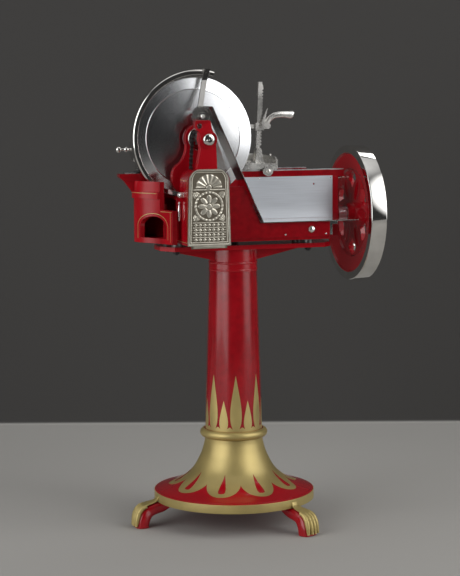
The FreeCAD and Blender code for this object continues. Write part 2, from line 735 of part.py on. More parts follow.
def carriage_apron():
    """Front edge of the saddle below the tray, with the lug and pin of the eccentric clamp."""
    y0 = TABLE_FRONT
    top = CARRIAGE_Z + CARRIAGE_T
    r = CAM_R * 0.6
    strip = block(TABLE_X, (y0, BED_FRONT + 4), (TABLE_Z - SKIRT_DROP, top))
    lug = bar("y", (CAM_X, CAM_Z), r, y0, y0 + SKIRT_T).fuse(
        block((CAM_X - r, CAM_X + r), (y0, y0 + SKIRT_T), (CAM_Z, top)))
    return [strip, lug, cam_pin()]


def feed_axis():
    return (sum(CARRIAGE_X) / 2, CARRIAGE_Z + CARRIAGE_T / 2)


def connecting_rod():
    """Forked-off link from the carriage lug to the crank pin, drawn with its eyes."""
    a = (LAY_X, SHAFT_Z + CRANK_R)
    b = (LUG_X, SHAFT_Z)
    angle = math.atan2(b[1] - a[1], b[0] - a[0])
    nx, nz = -math.sin(angle), math.cos(angle)
    half = ROD_W / 2 * 0.75
    web = prism("y", [(a[0] + nx * half, a[1] + nz * half), (b[0] + nx * half, b[1] + nz * half),
                      (b[0] - nx * half, b[1] - nz * half), (a[0] - nx * half, a[1] - nz * half)],
                ROD_Y + 1.5, ROD_Y + ROD_T - 1.5)
    eyes = [bar("y", p, CRANK_EYE, ROD_Y, ROD_Y + ROD_T) for p in (a, b)]
    link = join([web] + eyes)
    link = link.cut(bar("y", b, CRANK_PIN_R + RUN_CLEAR, ROD_Y - 1, ROD_Y + ROD_T + 1))
    return link.cut(bar("y", a, CRANK_PIN_R + 0.3, ROD_Y - 1, ROD_Y + ROD_T + 1))


# ---- meat table -----------------------------------------------------------------------------
def meat_table():
    """Nickel tray that the meat stands on: toothed front lip, end fence and back."""
    x0, x1 = TABLE_X
    y0 = TABLE_FRONT
    y1 = y0 + SKIRT_T
    tray = block((x0, x1), (y0, TABLE_BACK), (TABLE_Z, TABLE_TOP))
    lip = block((x0, x1), (y0, y1), (TABLE_Z, TABLE_TOP + LIP_H))
    fence = prism("x", [(y0, TABLE_Z), (y0, TABLE_TOP + FENCE_H * 0.6),
                        (y0 + 24, TABLE_TOP + FENCE_H), (TABLE_BACK, TABLE_TOP + FENCE_H),
                        (TABLE_BACK, TABLE_Z)], x1 - FENCE_T, x1)
    back = block((x0 + 40, x1), (TABLE_BACK - FENCE_T, TABLE_BACK), (TABLE_Z, TABLE_TOP + FENCE_H))
    x, z = feed_axis()
    bracket = block((x - 14, x + 14), (TABLE_BACK - 12, TABLE_BACK), (CARRIAGE_Z, TABLE_Z + 1))
    stud = bar("z", (x1 - FENCE_T / 2, SHAFT_Y), 2.0, TABLE_TOP + FENCE_H - 1, TABLE_TOP + FENCE_H + 5)
    body = join([tray, lip, fence, back, bracket, stud] + spikes())
    return body.cut(bar("y", (x, z), SCREW_R + RUN_CLEAR, TABLE_BACK - 20, TABLE_BACK + 1))


def spikes():
    """Row of teeth along the tray's front lip that hold the meat."""
    x0, x1 = TABLE_X
    z = TABLE_TOP + LIP_H
    count = int((x1 - 40 - x0) // SPIKE_PITCH)
    teeth = []
    for k in range(count):
        x = x0 + 3 + SPIKE_PITCH * k
        teeth.append(prism("y", [(x, z - 0.5), (x + SPIKE_PITCH * 0.7, z - 0.5),
                                 (x + SPIKE_PITCH * 0.35, z + SPIKE_H)],
                           TABLE_FRONT + 1, TABLE_FRONT + 3))
    return teeth


def table_cam():
    """Round eccentric clamp on the saddle's apron, with a thumb hook."""
    front = cam_front()
    disc = bar("y", (CAM_X, CAM_Z), CAM_R, front, front + 6)
    hook = prism("y", [(CAM_X - 4, CAM_Z - CAM_R + 1), (CAM_X - 15, CAM_Z - 8),
                       (CAM_X - 18, CAM_Z + 4), (CAM_X - 13, CAM_Z + 3), (CAM_X - 10, CAM_Z - 4),
                       (CAM_X, CAM_Z - 8)], front, front + 6)
    hole = bar("y", (CAM_X, CAM_Z), 4 + RUN_CLEAR, front - 4, front + 7)
    return disc.fuse(hook).removeSplitter().cut(hole)


def cam_front():
    return TABLE_FRONT - 0.3 - 6


def cam_pin():
    y = cam_front() - 0.4
    return turned("y", (CAM_X, CAM_Z), [(0, TABLE_FRONT + 1), (4, TABLE_FRONT + 1), (4, y),
                                        (6.5, y), (5, y - 3), (0, y - 3.5)])


def feed_screw():
    """Threaded spindle from the carriage's boss out through the table's back bracket."""
    axis = feed_axis()
    core = bar("y", axis, SCREW_R, REAR_RAIL_Y - 20, TABLE_BACK + 26)
    collar = ring("y", axis, SCREW_R + 4, SCREW_R, TABLE_BACK + 0.3, TABLE_BACK + 6)
    return core.fuse(collar).removeSplitter()


def feed_wheel():
    """Small fluted hand wheel on the end of the feed screw."""
    axis = feed_axis()
    y = TABLE_BACK + 8
    body = turned("y", axis, [(SCREW_R, y), (30, y), (32, y + 3), (32, y + 11), (30, y + 14),
                              (SCREW_R, y + 14)])
    for k in range(10):
        body = body.cut(bar("y", polar(34, 36 * k, axis), 4.5, y - 1, y + 15))
    return body


def lean(shape):
    """Tilt about the pin in the foot of the rack post."""
    shape.rotate(V(POST_X, POST_Y, TABLE_TOP + PIVOT_H), AXES["y"], POST_LEAN)
    return shape


def post_foot():
    """Fork on the tray that carries the pin of the rack post."""
    z = TABLE_TOP + PIVOT_H
    pad = block((POST_X - 15, POST_X + 15), (POST_Y - 17, POST_Y + 17), (TABLE_TOP, TABLE_TOP + 6))
    cheeks = []
    for y in (POST_Y - 12, POST_Y + 7.4):
        cheeks.append(prism("y", [(POST_X - 13, TABLE_TOP + 5), (POST_X + 13, TABLE_TOP + 5),
                                  (POST_X + 8, z), (POST_X - 8, z)], y, y + 4.6))
        cheeks.append(bar("y", (POST_X, z), 8, y, y + 4.6))
    pin = bar("y", (POST_X, z), 4, POST_Y - 14, POST_Y + 14)
    return join([pad, pin] + cheeks)


def rack_post():
    """Upright with ratchet teeth on its +X side and an eye at its foot."""
    x0 = POST_X - POST_W / 2
    x1 = POST_X + POST_W / 2
    pivot = TABLE_TOP + PIVOT_H
    start = pivot + 14
    teeth = []
    count = int((POST_TOP - 14 - start) // RACK_PITCH)
    for k in range(count):
        z = start + RACK_PITCH * k
        teeth += [(x1 - RACK_DEPTH, z), (x1, z + RACK_PITCH * 0.50), (x1, z + RACK_PITCH * 0.72)]
    outline = ([(x0, pivot), (x1 - RACK_DEPTH, pivot)] + teeth
               + [(x1 - RACK_DEPTH, POST_TOP - 5), (x1 - RACK_DEPTH, POST_TOP), (x0, POST_TOP)])
    post = prism("y", outline, POST_Y - POST_D / 2, POST_Y + POST_D / 2)
    eye = bar("y", (POST_X, pivot), 10, POST_Y - 7, POST_Y + 7)
    hole = bar("y", (POST_X, pivot), 4 + RUN_CLEAR, POST_Y - 20, POST_Y + 20)
    return lean(join([post, eye]).cut(hole))


def clamp_sleeve():
    """Sleeve that slides on the post, with the ears of the lever and the arm of the shoe."""
    gap = CLAMP_GAP
    x0 = POST_X - POST_W / 2 - gap
    x1 = POST_X + POST_W / 2 + gap
    y0 = POST_Y - POST_D / 2 - gap
    y1 = POST_Y + POST_D / 2 + gap
    z = (CLAMP_Z - CLAMP_H / 2, CLAMP_Z + CLAMP_H / 2)
    w = CLAMP_WALL
    px, pz = lever_pivot()
    sleeve = block((x0 - w, x1 + w), (y0 - w, y1 + w), z)
    arm = block((POST_X - 92, x0), (POST_Y - 5, POST_Y + 5), (CLAMP_Z - 6, CLAMP_Z + 6))
    drop = block((POST_X - 92, POST_X - 82), (POST_Y - 5, POST_Y + 5),
                 (CLAMP_Z - 34, CLAMP_Z + 6))
    ear = bar("y", (px, pz), 9, y0 - w, y1 + w).fuse(
        block((x1, px), (y0 - w, y1 + w), (pz - 9, pz + 9)))
    slot = block((x1 + w, px + 20), (POST_Y - LEVER_T / 2 - gap, POST_Y + LEVER_T / 2 + gap),
                 (z[0] - 9, z[1] + 9))
    pins = [bar("y", (px, pz), 4, y0 - w, y1 + w), bar("y", pawl_pivot(), 2.5, y0 - w - 8, y0 - w + 1)]
    body = join([sleeve.fuse(ear).cut(slot), arm, drop] + pins)
    return lean(body.cut(block((x0, x1), (y0, y1), (z[0] - 1, z[1] + 1))))


def lever_pivot():
    return POST_X + POST_W / 2 + CLAMP_WALL + 11, CLAMP_Z + 3


def pawl_pivot():
    return POST_X + 6, CLAMP_Z + 5


def clamp_pawl():
    """Release finger beside the sleeve, thin and slightly curved."""
    x, z = pawl_pivot()
    y = POST_Y - POST_D / 2 - CLAMP_GAP - CLAMP_WALL - 0.4 - PAWL_T
    left = curved([V(x - 5, y, z + 2), V(x + 1, y, z + 20), V(x + 12, y, z + 50)])
    right = curved([V(x + 15, y, z + 49), V(x + 9, y, z + 22), V(x + 6, y, z - 2)])
    ends = [line(V(x + 12, y, z + 50), V(x + 15, y, z + 49)),
            line(V(x + 6, y, z - 2), V(x - 5, y, z + 2))]
    blade_part = Part.Face(Part.Wire([left, ends[0], right, ends[1]])).extrude(V(0, PAWL_T, 0))
    body = blade_part.fuse(bar("y", (x, z), 6, y, y + PAWL_T)).removeSplitter()
    return lean(body.cut(bar("y", (x, z), 2.5 + RUN_CLEAR, y - 1, y + PAWL_T + 1)))


def clamp_shoe():
    """Spiked plate at the end of the clamp's arm that presses on the meat."""
    x = POST_X - 87
    z = CLAMP_Z - 34
    plate = block((x - 26, x + 26), (POST_Y - 34, POST_Y + 34), (z - 5, z))
    points = [Part.makeCone(2.4, 0.4, 10, V(x + dx, POST_Y + dy, z - 5), V(0, 0, -1))
              for dx in (-18, 0, 18) for dy in (-24, -8, 8, 24)]
    return lean(join([plate] + points))


def clamp_lever():
    """Curved hand lever that locks the sleeve on the rack."""
    px, pz = lever_pivot()
    upper = [(-9, 6), (-4.5, 19), (12, 35), (29, 41.5), (58, 44.5), (87, 46)]
    lower = [(82, 31), (74, 23.5), (51, 26), (26.5, 23), (13, 14), (6, 3), (-3, -9)]
    top = [V(px + x, 0, pz + z) for x, z in upper]
    low = [V(px + x, 0, pz + z) for x, z in lower]
    outline = [curved(top), line(top[-1], low[0]), curved(low), line(low[-1], top[0])]
    lever = Part.Face(Part.Wire(outline)).extrude(V(0, LEVER_T, 0))
    lever.translate(V(0, POST_Y - LEVER_T / 2, 0))
    return lean(lever.cut(bar("y", (px, pz), 4 + RUN_CLEAR, POST_Y - 20, POST_Y + 20)))


# ---- shafts, gears and chain ----------------------------------------------------------------
def bevel_gear(bore, phase):
    """Mitre gear whose apex is at the origin and whose back is towards +Z."""
    module = 2 * GEAR_R / GEAR_TEETH
    tip = 0.8 * module / math.sqrt(2)
    root = 1.05 * module / math.sqrt(2)
    small = 1 - GEAR_FACE / (GEAR_R * math.sqrt(2))
    half = math.pi * module / 4 * GEAR_BACKLASH
    slope = math.tan(math.radians(20))
    tip_p = (GEAR_R + tip, GEAR_R - tip)
    root_p = (GEAR_R - root, GEAR_R + root)
    tip_a = (half - tip * math.sqrt(2) * slope) / GEAR_R
    root_a = (half + root * math.sqrt(2) * slope) / GEAR_R
    back = root_p[1] + HUB_L
    body = turned("z", (0, 0), [(bore, root_p[1] * small), (root_p[0] * small, root_p[1] * small),
                                root_p, (root_p[0] - 2, root_p[1] + 4), (HUB_R, root_p[1] + 4),
                                (HUB_R, back), (bore, back)])
    shapes = [body]
    for k in range(GEAR_TEETH):
        centre = 2 * math.pi * (k + phase) / GEAR_TEETH
        shapes.append(gear_tooth(centre, tip_p, tip_a, root_p, root_a, small))
    return join(shapes)


def gear_tooth(centre, tip_p, tip_a, root_p, root_a, small):
    """One straight bevel tooth: a wedge whose edges all run towards the apex."""
    sink = 0.985
    corners = [(root_p[0] * sink, root_p[1], -root_a), (tip_p[0], tip_p[1], -tip_a),
               (tip_p[0], tip_p[1], tip_a), (root_p[0] * sink, root_p[1], root_a)]
    big = [V(r * math.cos(centre + a), r * math.sin(centre + a), z) for r, z, a in corners]
    little = [p * small for p in big]
    faces = [Part.Face(Part.makePolygon(big + big[:1])),
             Part.Face(Part.makePolygon(little + little[:1]))]
    for i in range(4):
        j = (i + 1) % 4
        faces.append(Part.Face(Part.makePolygon([big[i], big[j], little[j], little[i], big[i]])))
    solid = Part.makeSolid(Part.makeShell(faces))
    if solid.Volume < 0:
        solid.reverse()
    return solid


def main_bevel():
    gear = bevel_gear(SHAFT_R, 0.0)
    gear.rotate(V(0, 0, 0), AXES["y"], 90)
    gear.rotate(V(0, 0, 0), AXES["x"], 90)
    gear.translate(V(LAY_X, SHAFT_Y, SHAFT_Z))
    return gear


def lay_bevel():
    gear = bevel_gear(LAY_R, 0.5)
    gear.rotate(V(0, 0, 0), AXES["x"], 90)
    gear.translate(V(LAY_X, SHAFT_Y, SHAFT_Z))
    return gear


def main_shaft():
    """Shaft from the bevel gear through the base to the flywheel's nut."""
    left = LAY_X + GEAR_R * 0.75
    right = WHEEL_X + (WHEEL_W + WHEEL_HUB_L) / 2 + 14
    shaft = bar("x", (SHAFT_Y, SHAFT_Z), SHAFT_R, left, right)
    collar = ring("x", (SHAFT_Y, SHAFT_Z), SHAFT_R + 7, SHAFT_R, BED_RIGHT + BOSS_L - WALL + 0.4,
                  WHEEL_X + (WHEEL_W - WHEEL_HUB_L) / 2)
    return shaft.fuse(collar).removeSplitter()


def shaft_bushes():
    """Plain bushes of the two shafts, each pressed into its own boss."""
    main = (SHAFT_Y, SHAFT_Z)
    lay = (LAY_X, SHAFT_Z)
    return Part.makeCompound([
        ring("x", main, bush_r(SHAFT_R), SHAFT_R + RUN_CLEAR, BED_RIGHT - 2 * WALL,
             BED_RIGHT + BOSS_L - WALL),
        ring("x", main, bush_r(SHAFT_R), SHAFT_R + RUN_CLEAR, -52, -34),
        ring("y", lay, bush_r(LAY_R), LAY_R + RUN_CLEAR, BOX_BACK + 1, BOX_BACK + WALL + 13),
        ring("y", lay, bush_r(LAY_R), LAY_R + RUN_CLEAR, CRANK_Y - 16, CRANK_Y - 4)])


def layshaft():
    """Cross shaft of the sprocket, the bevel gear and the crank arm."""
    return bar("y", (LAY_X, SHAFT_Z), LAY_R, LAY_FRONT, CRANK_PIN_Y)


def crank_arm():
    """Crank arm with its pin, standing straight up at mid stroke."""
    low = (LAY_X, SHAFT_Z)
    high = (LAY_X, SHAFT_Z + CRANK_R)
    hub = bar("y", low, CRANK_EYE + 4, CRANK_Y, CRANK_PIN_Y)
    eye = bar("y", high, CRANK_EYE, CRANK_Y, CRANK_PIN_Y)
    web = block((LAY_X - CRANK_EYE * 0.8, LAY_X + CRANK_EYE * 0.8), (CRANK_Y, CRANK_PIN_Y),
                (SHAFT_Z, SHAFT_Z + CRANK_R))
    pin = bar("y", high, CRANK_PIN_R, CRANK_PIN_Y - 1, CRANK_PIN_Y + CRANK_PIN_L)
    return join([hub, eye, web, pin]).cut(bar("y", low, LAY_R, CRANK_Y - 1, CRANK_PIN_Y + 1))


def pitch_r(teeth):
    return CHAIN_PITCH / (2 * math.sin(math.pi / teeth))


def sprocket(teeth, centre, bore, hub_r, hub_to):
    """Chain wheel: teeth short enough to pass under the rollers, and a hub behind."""
    tip = pitch_r(teeth) - ROLLER_R - CHAIN_GAP
    root = tip - TOOTH_H
    step = 360.0 / teeth
    outline = []
    for k in range(teeth):
        for share, r in ((-0.34, root), (-0.13, tip), (0.13, tip), (0.34, root)):
            outline.append(polar(r, step * (k + share), centre))
    half = SPROCKET_T / 2
    wheel = prism("y", outline, CHAIN_Y - half, CHAIN_Y + half)
    wheel = wheel.fuse(bar("y", centre, hub_r, CHAIN_Y, hub_to))
    return wheel.removeSplitter().cut(bar("y", centre, bore, CHAIN_Y - 20, hub_to + 20))


def chain_places():
    """Centres and directions of the chain's pitches, evenly round both sprockets."""
    top = (LAY_X, BLADE_Z, pitch_r(UPPER_TEETH))
    low = (LAY_X, SHAFT_Z, pitch_r(LOWER_TEETH))
    gap = top[1] - low[1]
    lean = math.asin((low[2] - top[2]) / gap)
    run = gap * math.cos(lean)
    arc_top = (math.pi - 2 * lean) * top[2]
    arc_low = (math.pi + 2 * lean) * low[2]
    total = 2 * run + arc_top + arc_low
    count = 2 * round(total / CHAIN_PITCH / 2)
    places = []
    for k in range(count):
        s = total * k / count
        if s < run:
            start = (low[0] - low[2] * math.cos(lean), low[1] + low[2] * math.sin(lean))
            places.append((start[0] + s * math.sin(lean), start[1] + s * math.cos(lean)))
            continue
        s -= run
        if s < arc_top:
            a = math.pi - lean - s / top[2]
            places.append((top[0] + top[2] * math.cos(a), top[1] + top[2] * math.sin(a)))
            continue
        s -= arc_top
        if s < run:
            start = (top[0] + top[2] * math.cos(lean), top[1] + top[2] * math.sin(lean))
            places.append((start[0] + s * math.sin(lean), start[1] - s * math.cos(lean)))
            continue
        a = lean - (s - run) / low[2]
        places.append((low[0] + low[2] * math.cos(a), low[1] + low[2] * math.sin(a)))
    return places


def drive_chain():
    """Roller chain: rollers between plates, inner and outer links in turn."""
    places = chain_places()
    inner_y = SPROCKET_T / 2 + LINK_GAP
    shapes = []
    for k, a in enumerate(places):
        b = places[(k + 1) % len(places)]
        outer = k % 2
        offset = inner_y + (LINK_T + 0.1 if outer else 0.0)
        for side in (-1, 1):
            y = sorted((CHAIN_Y + side * offset, CHAIN_Y + side * (offset + LINK_T)))
            shapes.append(link_plate(a, b, y[0], y[1]))
        reach = inner_y + 2 * LINK_T + 0.6
        shapes.append(octagon(a, ROLLER_R, CHAIN_Y - inner_y, CHAIN_Y + inner_y))
        shapes.append(octagon(a, 1.9, CHAIN_Y - reach, CHAIN_Y + reach))
    return shapes[0].multiFuse(shapes[1:])


def octagon(centre, r, y0, y1):
    corners = [polar(r / math.cos(math.pi / 8), 45 * i + 22.5, centre) for i in range(8)]
    return prism("y", corners, y0, y1)


def link_plate(a, b, y0, y1):
    """Link plate with clipped ends round its two pins."""
    dx, dz = b[0] - a[0], b[1] - a[1]
    length = math.hypot(dx, dz)
    ux, uz = dx / length, dz / length
    h = LINK_H / 2
    shape = [(-h * 0.9, -h * 0.4), (-h * 0.35, -h), (h * 0.35, -h), (length / 2, -h * 0.7),
             (length - h * 0.35, -h), (length + h * 0.35, -h), (length + h * 0.9, -h * 0.4),
             (length + h * 0.9, h * 0.4), (length + h * 0.35, h), (length - h * 0.35, h),
             (length / 2, h * 0.7), (h * 0.35, h), (-h * 0.35, h), (-h * 0.9, h * 0.4)]
    return prism("y", [(a[0] + ux * s - uz * t, a[1] + uz * s + ux * t) for s, t in shape], y0, y1)


# ---- blade and its head ---------------------------------------------------------------------
def blade_line():
    """Front face of the blade as (radius, Y), from the centre to the cutting edge."""
    edge = BLADE_EDGE_Y
    return [(BLADE_HUB_R, edge - BEVEL_RISE - DISH_RISE), (BEVEL_R, edge - BEVEL_RISE),
            (BLADE_R, edge)]


def blade():
    """Dished round knife with a ground bevel, seated on the arbor's flange."""
    front = blade_line()
    hub_y = front[0][1]
    back = [(BLADE_R, BLADE_EDGE_Y + 0.5), (BEVEL_R, front[1][1] + BLADE_T),
            (BLADE_HUB_R, hub_y + BLADE_T)]
    outline = [(ARBOR_R, hub_y)] + front + back + [(ARBOR_R, hub_y + BLADE_T)]
    return turned("y", (LAY_X, BLADE_Z), outline)


def arbor():
    """Blade spindle with its flange, retaining nut behind the blade and sprocket seat."""
    hub_y = blade_line()[0][1]
    y0 = FRONT_WALL[0] + 4
    flange = hub_y - FLANGE_T
    profile = [(0, y0), (ARBOR_R, y0), (ARBOR_R, flange), (FLANGE_R, flange), (FLANGE_R, hub_y),
               (ARBOR_R, hub_y), (ARBOR_R, hub_y + BLADE_T), (FLANGE_R * 0.8, hub_y + BLADE_T),
               (FLANGE_R * 0.7, hub_y + BLADE_T + 6), (0, hub_y + BLADE_T + 6)]
    return turned("y", (LAY_X, BLADE_Z), profile)


def arbor_bushes():
    return Part.makeCompound([
        ring("y", (LAY_X, BLADE_Z), bush_r(ARBOR_R), ARBOR_R + RUN_CLEAR, y[0], y[1])
        for y in (FRONT_WALL, (REAR_WALL[0] - 4, REAR_WALL[1]))])


def bearing_cap():
    """Nickel cap on the front bearing."""
    y = FRONT_WALL[0] - 2
    return turned("y", (LAY_X, BLADE_Z), [(0, y), (CAP_R, y), (CAP_R, y - CAP_L * 0.5),
                                          (CAP_R * 0.8, y - CAP_L), (0, y - CAP_L)])


def box_outline(inset=0.0, low=None):
    """Front view of the bracket box: straight sides and a round-shouldered top."""
    x0, x1 = BOX_LEFT + inset, BOX_RIGHT - inset
    z1 = BOX_TOP - inset
    z0 = BASE_Z if low is None else low
    r = BOX_ROUND - inset
    a = line(V(x0, 0, z0), V(x1, 0, z0))
    b = line(V(x1, 0, z0), V(x1, 0, z1 - r))
    c = Part.Arc(V(x1, 0, z1 - r), V(x1 - r + r * 0.7071, 0, z1 - r + r * 0.7071),
                 V(x1 - r, 0, z1)).toShape()
    d = line(V(x1 - r, 0, z1), V(x0 + r, 0, z1))
    e = Part.Arc(V(x0 + r, 0, z1), V(x0 + r - r * 0.7071, 0, z1 - r + r * 0.7071),
                 V(x0, 0, z1 - r)).toShape()
    f = line(V(x0, 0, z1 - r), V(x0, 0, z0))
    return Part.Face(Part.Wire([a, b, c, d, e, f]))


def blade_bracket():
    """Casting that carries the blade: plaque box, front wall with boss, rear wall with foot."""
    box = box_outline().extrude(V(0, BOX_BACK - BOX_FRONT, 0))
    box.translate(V(0, BOX_FRONT, 0))
    room = box_outline(BOX_WALL, BASE_Z - 1).extrude(V(0, BOX_BACK - BOX_FRONT - BOX_WALL + 1, 0))
    room.translate(V(0, BOX_FRONT + BOX_WALL, 0))
    shoulder = block((BOX_LEFT - 1, BOX_RIGHT + 1), (BOX_SHOULDER, BOX_BACK + 1),
                     (DECK_Z + 16, BOX_TOP + 1))
    box = box.cut(room).cut(shoulder)
    body = join([box, front_wall(), rear_wall(), handle_pin()])
    return body.cut(bar("y", (LAY_X, BLADE_Z), bush_r(ARBOR_R), BOX_FRONT - 1, REAR_WALL[1] + 1))


def front_wall():
    """Front bearing wall: tapered neck, round boss and hooked head with an eye through it."""
    y0, y1 = FRONT_WALL
    x = LAY_X
    neck = prism("y", [(x - NECK_HALF - 13, BOX_TOP - 5), (x + NECK_HALF + 4, BOX_TOP - 5),
                       (x + NECK_HALF, BLADE_Z), (x + 11, BLADE_Z + 28), (x + 8, HEAD_TOP_Z - 6),
                       (x + 4, HEAD_TOP_Z), (x - 33, HEAD_TOP_Z), (x - 38, HEAD_TOP_Z - 4),
                       (x - 38, HEAD_TOP_Z - 22), (x - NECK_HALF - 3, BLADE_Z + 20),
                       (x - NECK_HALF - 6, BLADE_Z), (x - NECK_HALF, BLADE_Z - 24)], y0 + 2, y1)
    boss = bar("y", (x, BLADE_Z), HEAD_BOSS_R, y0 - 2, y1)
    eye = bar("y", (x - 25, HEAD_TOP_Z - 16), 7.5, y0 - 1, y1 + 1)
    return neck.fuse(boss).cut(eye)


def rear_wall():
    """Rear bearing wall, bulging to the left low down, and the ear of the guard stud."""
    y0, y1 = REAR_WALL
    x = LAY_X
    z = BLADE_Z
    r = REAR_BOSS_R
    left = curved([V(x - r + 1, 0, z - 6), V(x - r - 2, 0, z - 46), V(x - r - 14, 0, z - 66),
                   V(x - r - 32, 0, z - 82), V(x - r - 39, 0, z - 108), V(x - r - 35, 0, z - 130),
                   V(BOX_LEFT + 3, 0, DECK_Z + 16)])
    low_left = V(BOX_LEFT + 3, 0, DECK_Z)
    corners = [V(COVER_LEFT, 0, DECK_Z), V(COVER_LEFT, 0, DECK_Z + 16), V(x + r - 1, 0, z - 6),
               V(x - r + 1, 0, z - 6)]
    edges = [left, line(V(BOX_LEFT + 3, 0, DECK_Z + 16), low_left), line(low_left, corners[0])]
    edges += [line(a, b) for a, b in zip(corners, corners[1:])]
    web = Part.Face(Part.Wire(edges)).extrude(V(0, y1 - y0, 0))
    web.translate(V(0, y0, 0))
    boss = bar("y", (x, z), r, y0, y1)
    ear = bar("y", (STUD_X, STUD_Z), EAR_R, y0, y1).fuse(
        block((STUD_X - EAR_R, STUD_X + EAR_R), (y0, y1), (z, STUD_Z)))
    tie = block((BOX_LEFT + 3, BOX_RIGHT), (BOX_BACK - 4, y1), (DECK_Z, DECK_Z + 14))
    return join([web, boss, ear, tie]).cut(bar("y", (STUD_X, STUD_Z), STUD_R, y0 - 1, y0 + 12))


def plaque_outline(rim):
    """Half-round-shouldered plate, a little wider at its foot."""
    centre = (BOX_LEFT + BOX_RIGHT) / 2
    top = PLAQUE_W[0] / 2 - rim
    foot = PLAQUE_W[1] / 2 - rim
    z0 = PLAQUE_BOTTOM + rim
    z1 = BOX_TOP + 2 - rim
    r = BOX_ROUND - rim * 0.6
    k = r * 0.7071
    a = line(V(centre - foot, 0, z0), V(centre + foot, 0, z0))
    b = line(V(centre + foot, 0, z0), V(centre + top, 0, z1 - r))
    c = Part.Arc(V(centre + top, 0, z1 - r), V(centre + top - r + k, 0, z1 - r + k),
                 V(centre + top - r, 0, z1)).toShape()
    d = line(V(centre + top - r, 0, z1), V(centre - top + r, 0, z1))
    e = Part.Arc(V(centre - top + r, 0, z1), V(centre - top + r - k, 0, z1 - r + k),
                 V(centre - top, 0, z1 - r)).toShape()
    f = line(V(centre - top, 0, z1 - r), V(centre - foot, 0, z0))
    return Part.Face(Part.Wire([a, b, c, d, e, f]))


def plaque():
    """Cast nickel plate with a raised rim, over a second thin plate that shows below it."""
    y = BOX_FRONT - PLAQUE_T
    plate = plaque_outline(0).extrude(V(0, PLAQUE_T, 0))
    plate.translate(V(0, y, 0))
    field = plaque_outline(PLAQUE_RIM).extrude(V(0, 1.6, 0))
    field.translate(V(0, y, 0))
    centre = (BOX_LEFT + BOX_RIGHT) / 2
    apron = block((centre - APRON_W / 2, centre + APRON_W / 2), (BOX_FRONT - APRON_T, BOX_FRONT),
                  (PLAQUE_BOTTOM - APRON_DROP, PLAQUE_BOTTOM + 2))
    return plate.cut(field).fuse(apron).removeSplitter()


def strut_stud():
    """Stud in the rear wall's ear that holds the guard strut under its hand wheel."""
    y = REAR_WALL[0]
    return turned("y", (STUD_X, STUD_Z), [(0, y + 12), (STUD_R, y + 12), (STUD_R, y - 26),
                                         (STUD_R - 2, y - 28), (0, y - 28)])


def strut_wheel():
    """Fluted hand wheel on the stud: hub, thin web and a toothed rim."""
    y1 = REAR_WALL[0] - STRUT_T - 0.6
    y0 = y1 - WHEEL_NUT_T
    outline = []
    step = 360.0 / WHEEL_NUT_TEETH
    for k in range(WHEEL_NUT_TEETH):
        for share, r in ((-0.30, WHEEL_NUT_R - 4), (-0.16, WHEEL_NUT_R), (0.16, WHEEL_NUT_R),
                         (0.30, WHEEL_NUT_R - 4)):
            outline.append(polar(r, step * (k + share), (STUD_X, STUD_Z)))
    wheel = prism("y", outline, y0, y1)
    wheel = wheel.cut(ring("y", (STUD_X, STUD_Z), WHEEL_NUT_R - 9, 12, y0 - 1, y0 + 4))
    wheel = wheel.cut(ring("y", (STUD_X, STUD_Z), WHEEL_NUT_R - 9, 12, y1 - 4, y1 + 1))
    return wheel.cut(bar("y", (STUD_X, STUD_Z), STUD_R + RUN_CLEAR, y0 - 1, y1 + 1))


def box_handle():
    """Drop-shaped handle hanging on the left of the box from its pin."""
    x = BOX_LEFT - 6
    z = HANDLE_Z
    profile = [(0, z - HANDLE_L), (HANDLE_R * 0.7, z - HANDLE_L + 2),
               (HANDLE_R, z - HANDLE_L * 0.72), (HANDLE_R * 0.75, z - HANDLE_L * 0.4),
               (HANDLE_R * 0.45, z - 6), (0, z - 4)]
    drop = turned("z", (x, HANDLE_Y), profile)
    eye = bar("x", (HANDLE_Y, z), 5, x - 2.5, x + 2.5)
    return drop.fuse(eye).cut(bar("x", (HANDLE_Y, z), 2.5 + RUN_CLEAR, x - 5, x + 5))


def handle_pin():
    x = BOX_LEFT
    return turned("x", (HANDLE_Y, HANDLE_Z), [(0, x + 4), (2.5, x + 4), (2.5, x - 9), (4, x - 9),
                                              (3.4, x - 11), (0, x - 11)])


# ---- guard ----------------------------------------------------------------------------------
def sector(r, start, end, y0, y1):
    """Pie slice about the guard's axis, for trimming its ring to an arc."""
    centre = (GUARD_X, BLADE_Z)
    steps = 8
    rim = [polar(r, start + (end - start) * i / steps, centre) for i in range(steps + 1)]
    return prism("y", [centre] + rim, y0, y1)


def blade_guard():
    """Bright channel ring over the idle side of the blade: band and two inward lips."""
    y0, y1 = GUARD_Y
    t = GUARD_T
    r = GUARD_R
    lip = GUARD_R - GUARD_LIP
    profile = [(lip, y0), (r - 3, y0), (r, y0 + 3), (r, y1 - 2), (r - 2, y1), (r - 9, y1),
               (r - 9, y1 - t * 0.8), (r - t - 1, y1 - t * 0.8), (r - t, y1 - t - 1),
               (r - t, y0 + t + 1), (r - t - 1, y0 + t), (lip, y0 + t)]
    channel = turned("y", (GUARD_X, BLADE_Z), profile)
    return channel.common(sector(GUARD_R * 1.3, GUARD_FROM, GUARD_TO, y0 - 5, y1 + 5))


def guard_clamp():
    """Clamp block on top of the guard where the strut is screwed."""
    y0, y1 = GUARD_Y
    body = block((GUARD_R - GUARD_LIP + 2, GUARD_R + CLAMP_CAP), (y0 - CLAMP_D, y0), (-9, 9))
    cap = block((GUARD_R, GUARD_R + CLAMP_CAP), (y0 - CLAMP_D, y1 - 2), (-9, 9))
    shape = join([body, cap])
    shape.rotate(V(0, 0, 0), AXES["y"], -CLAMP_ANGLE)
    shape.translate(V(GUARD_X, 0, BLADE_Z))
    return shape


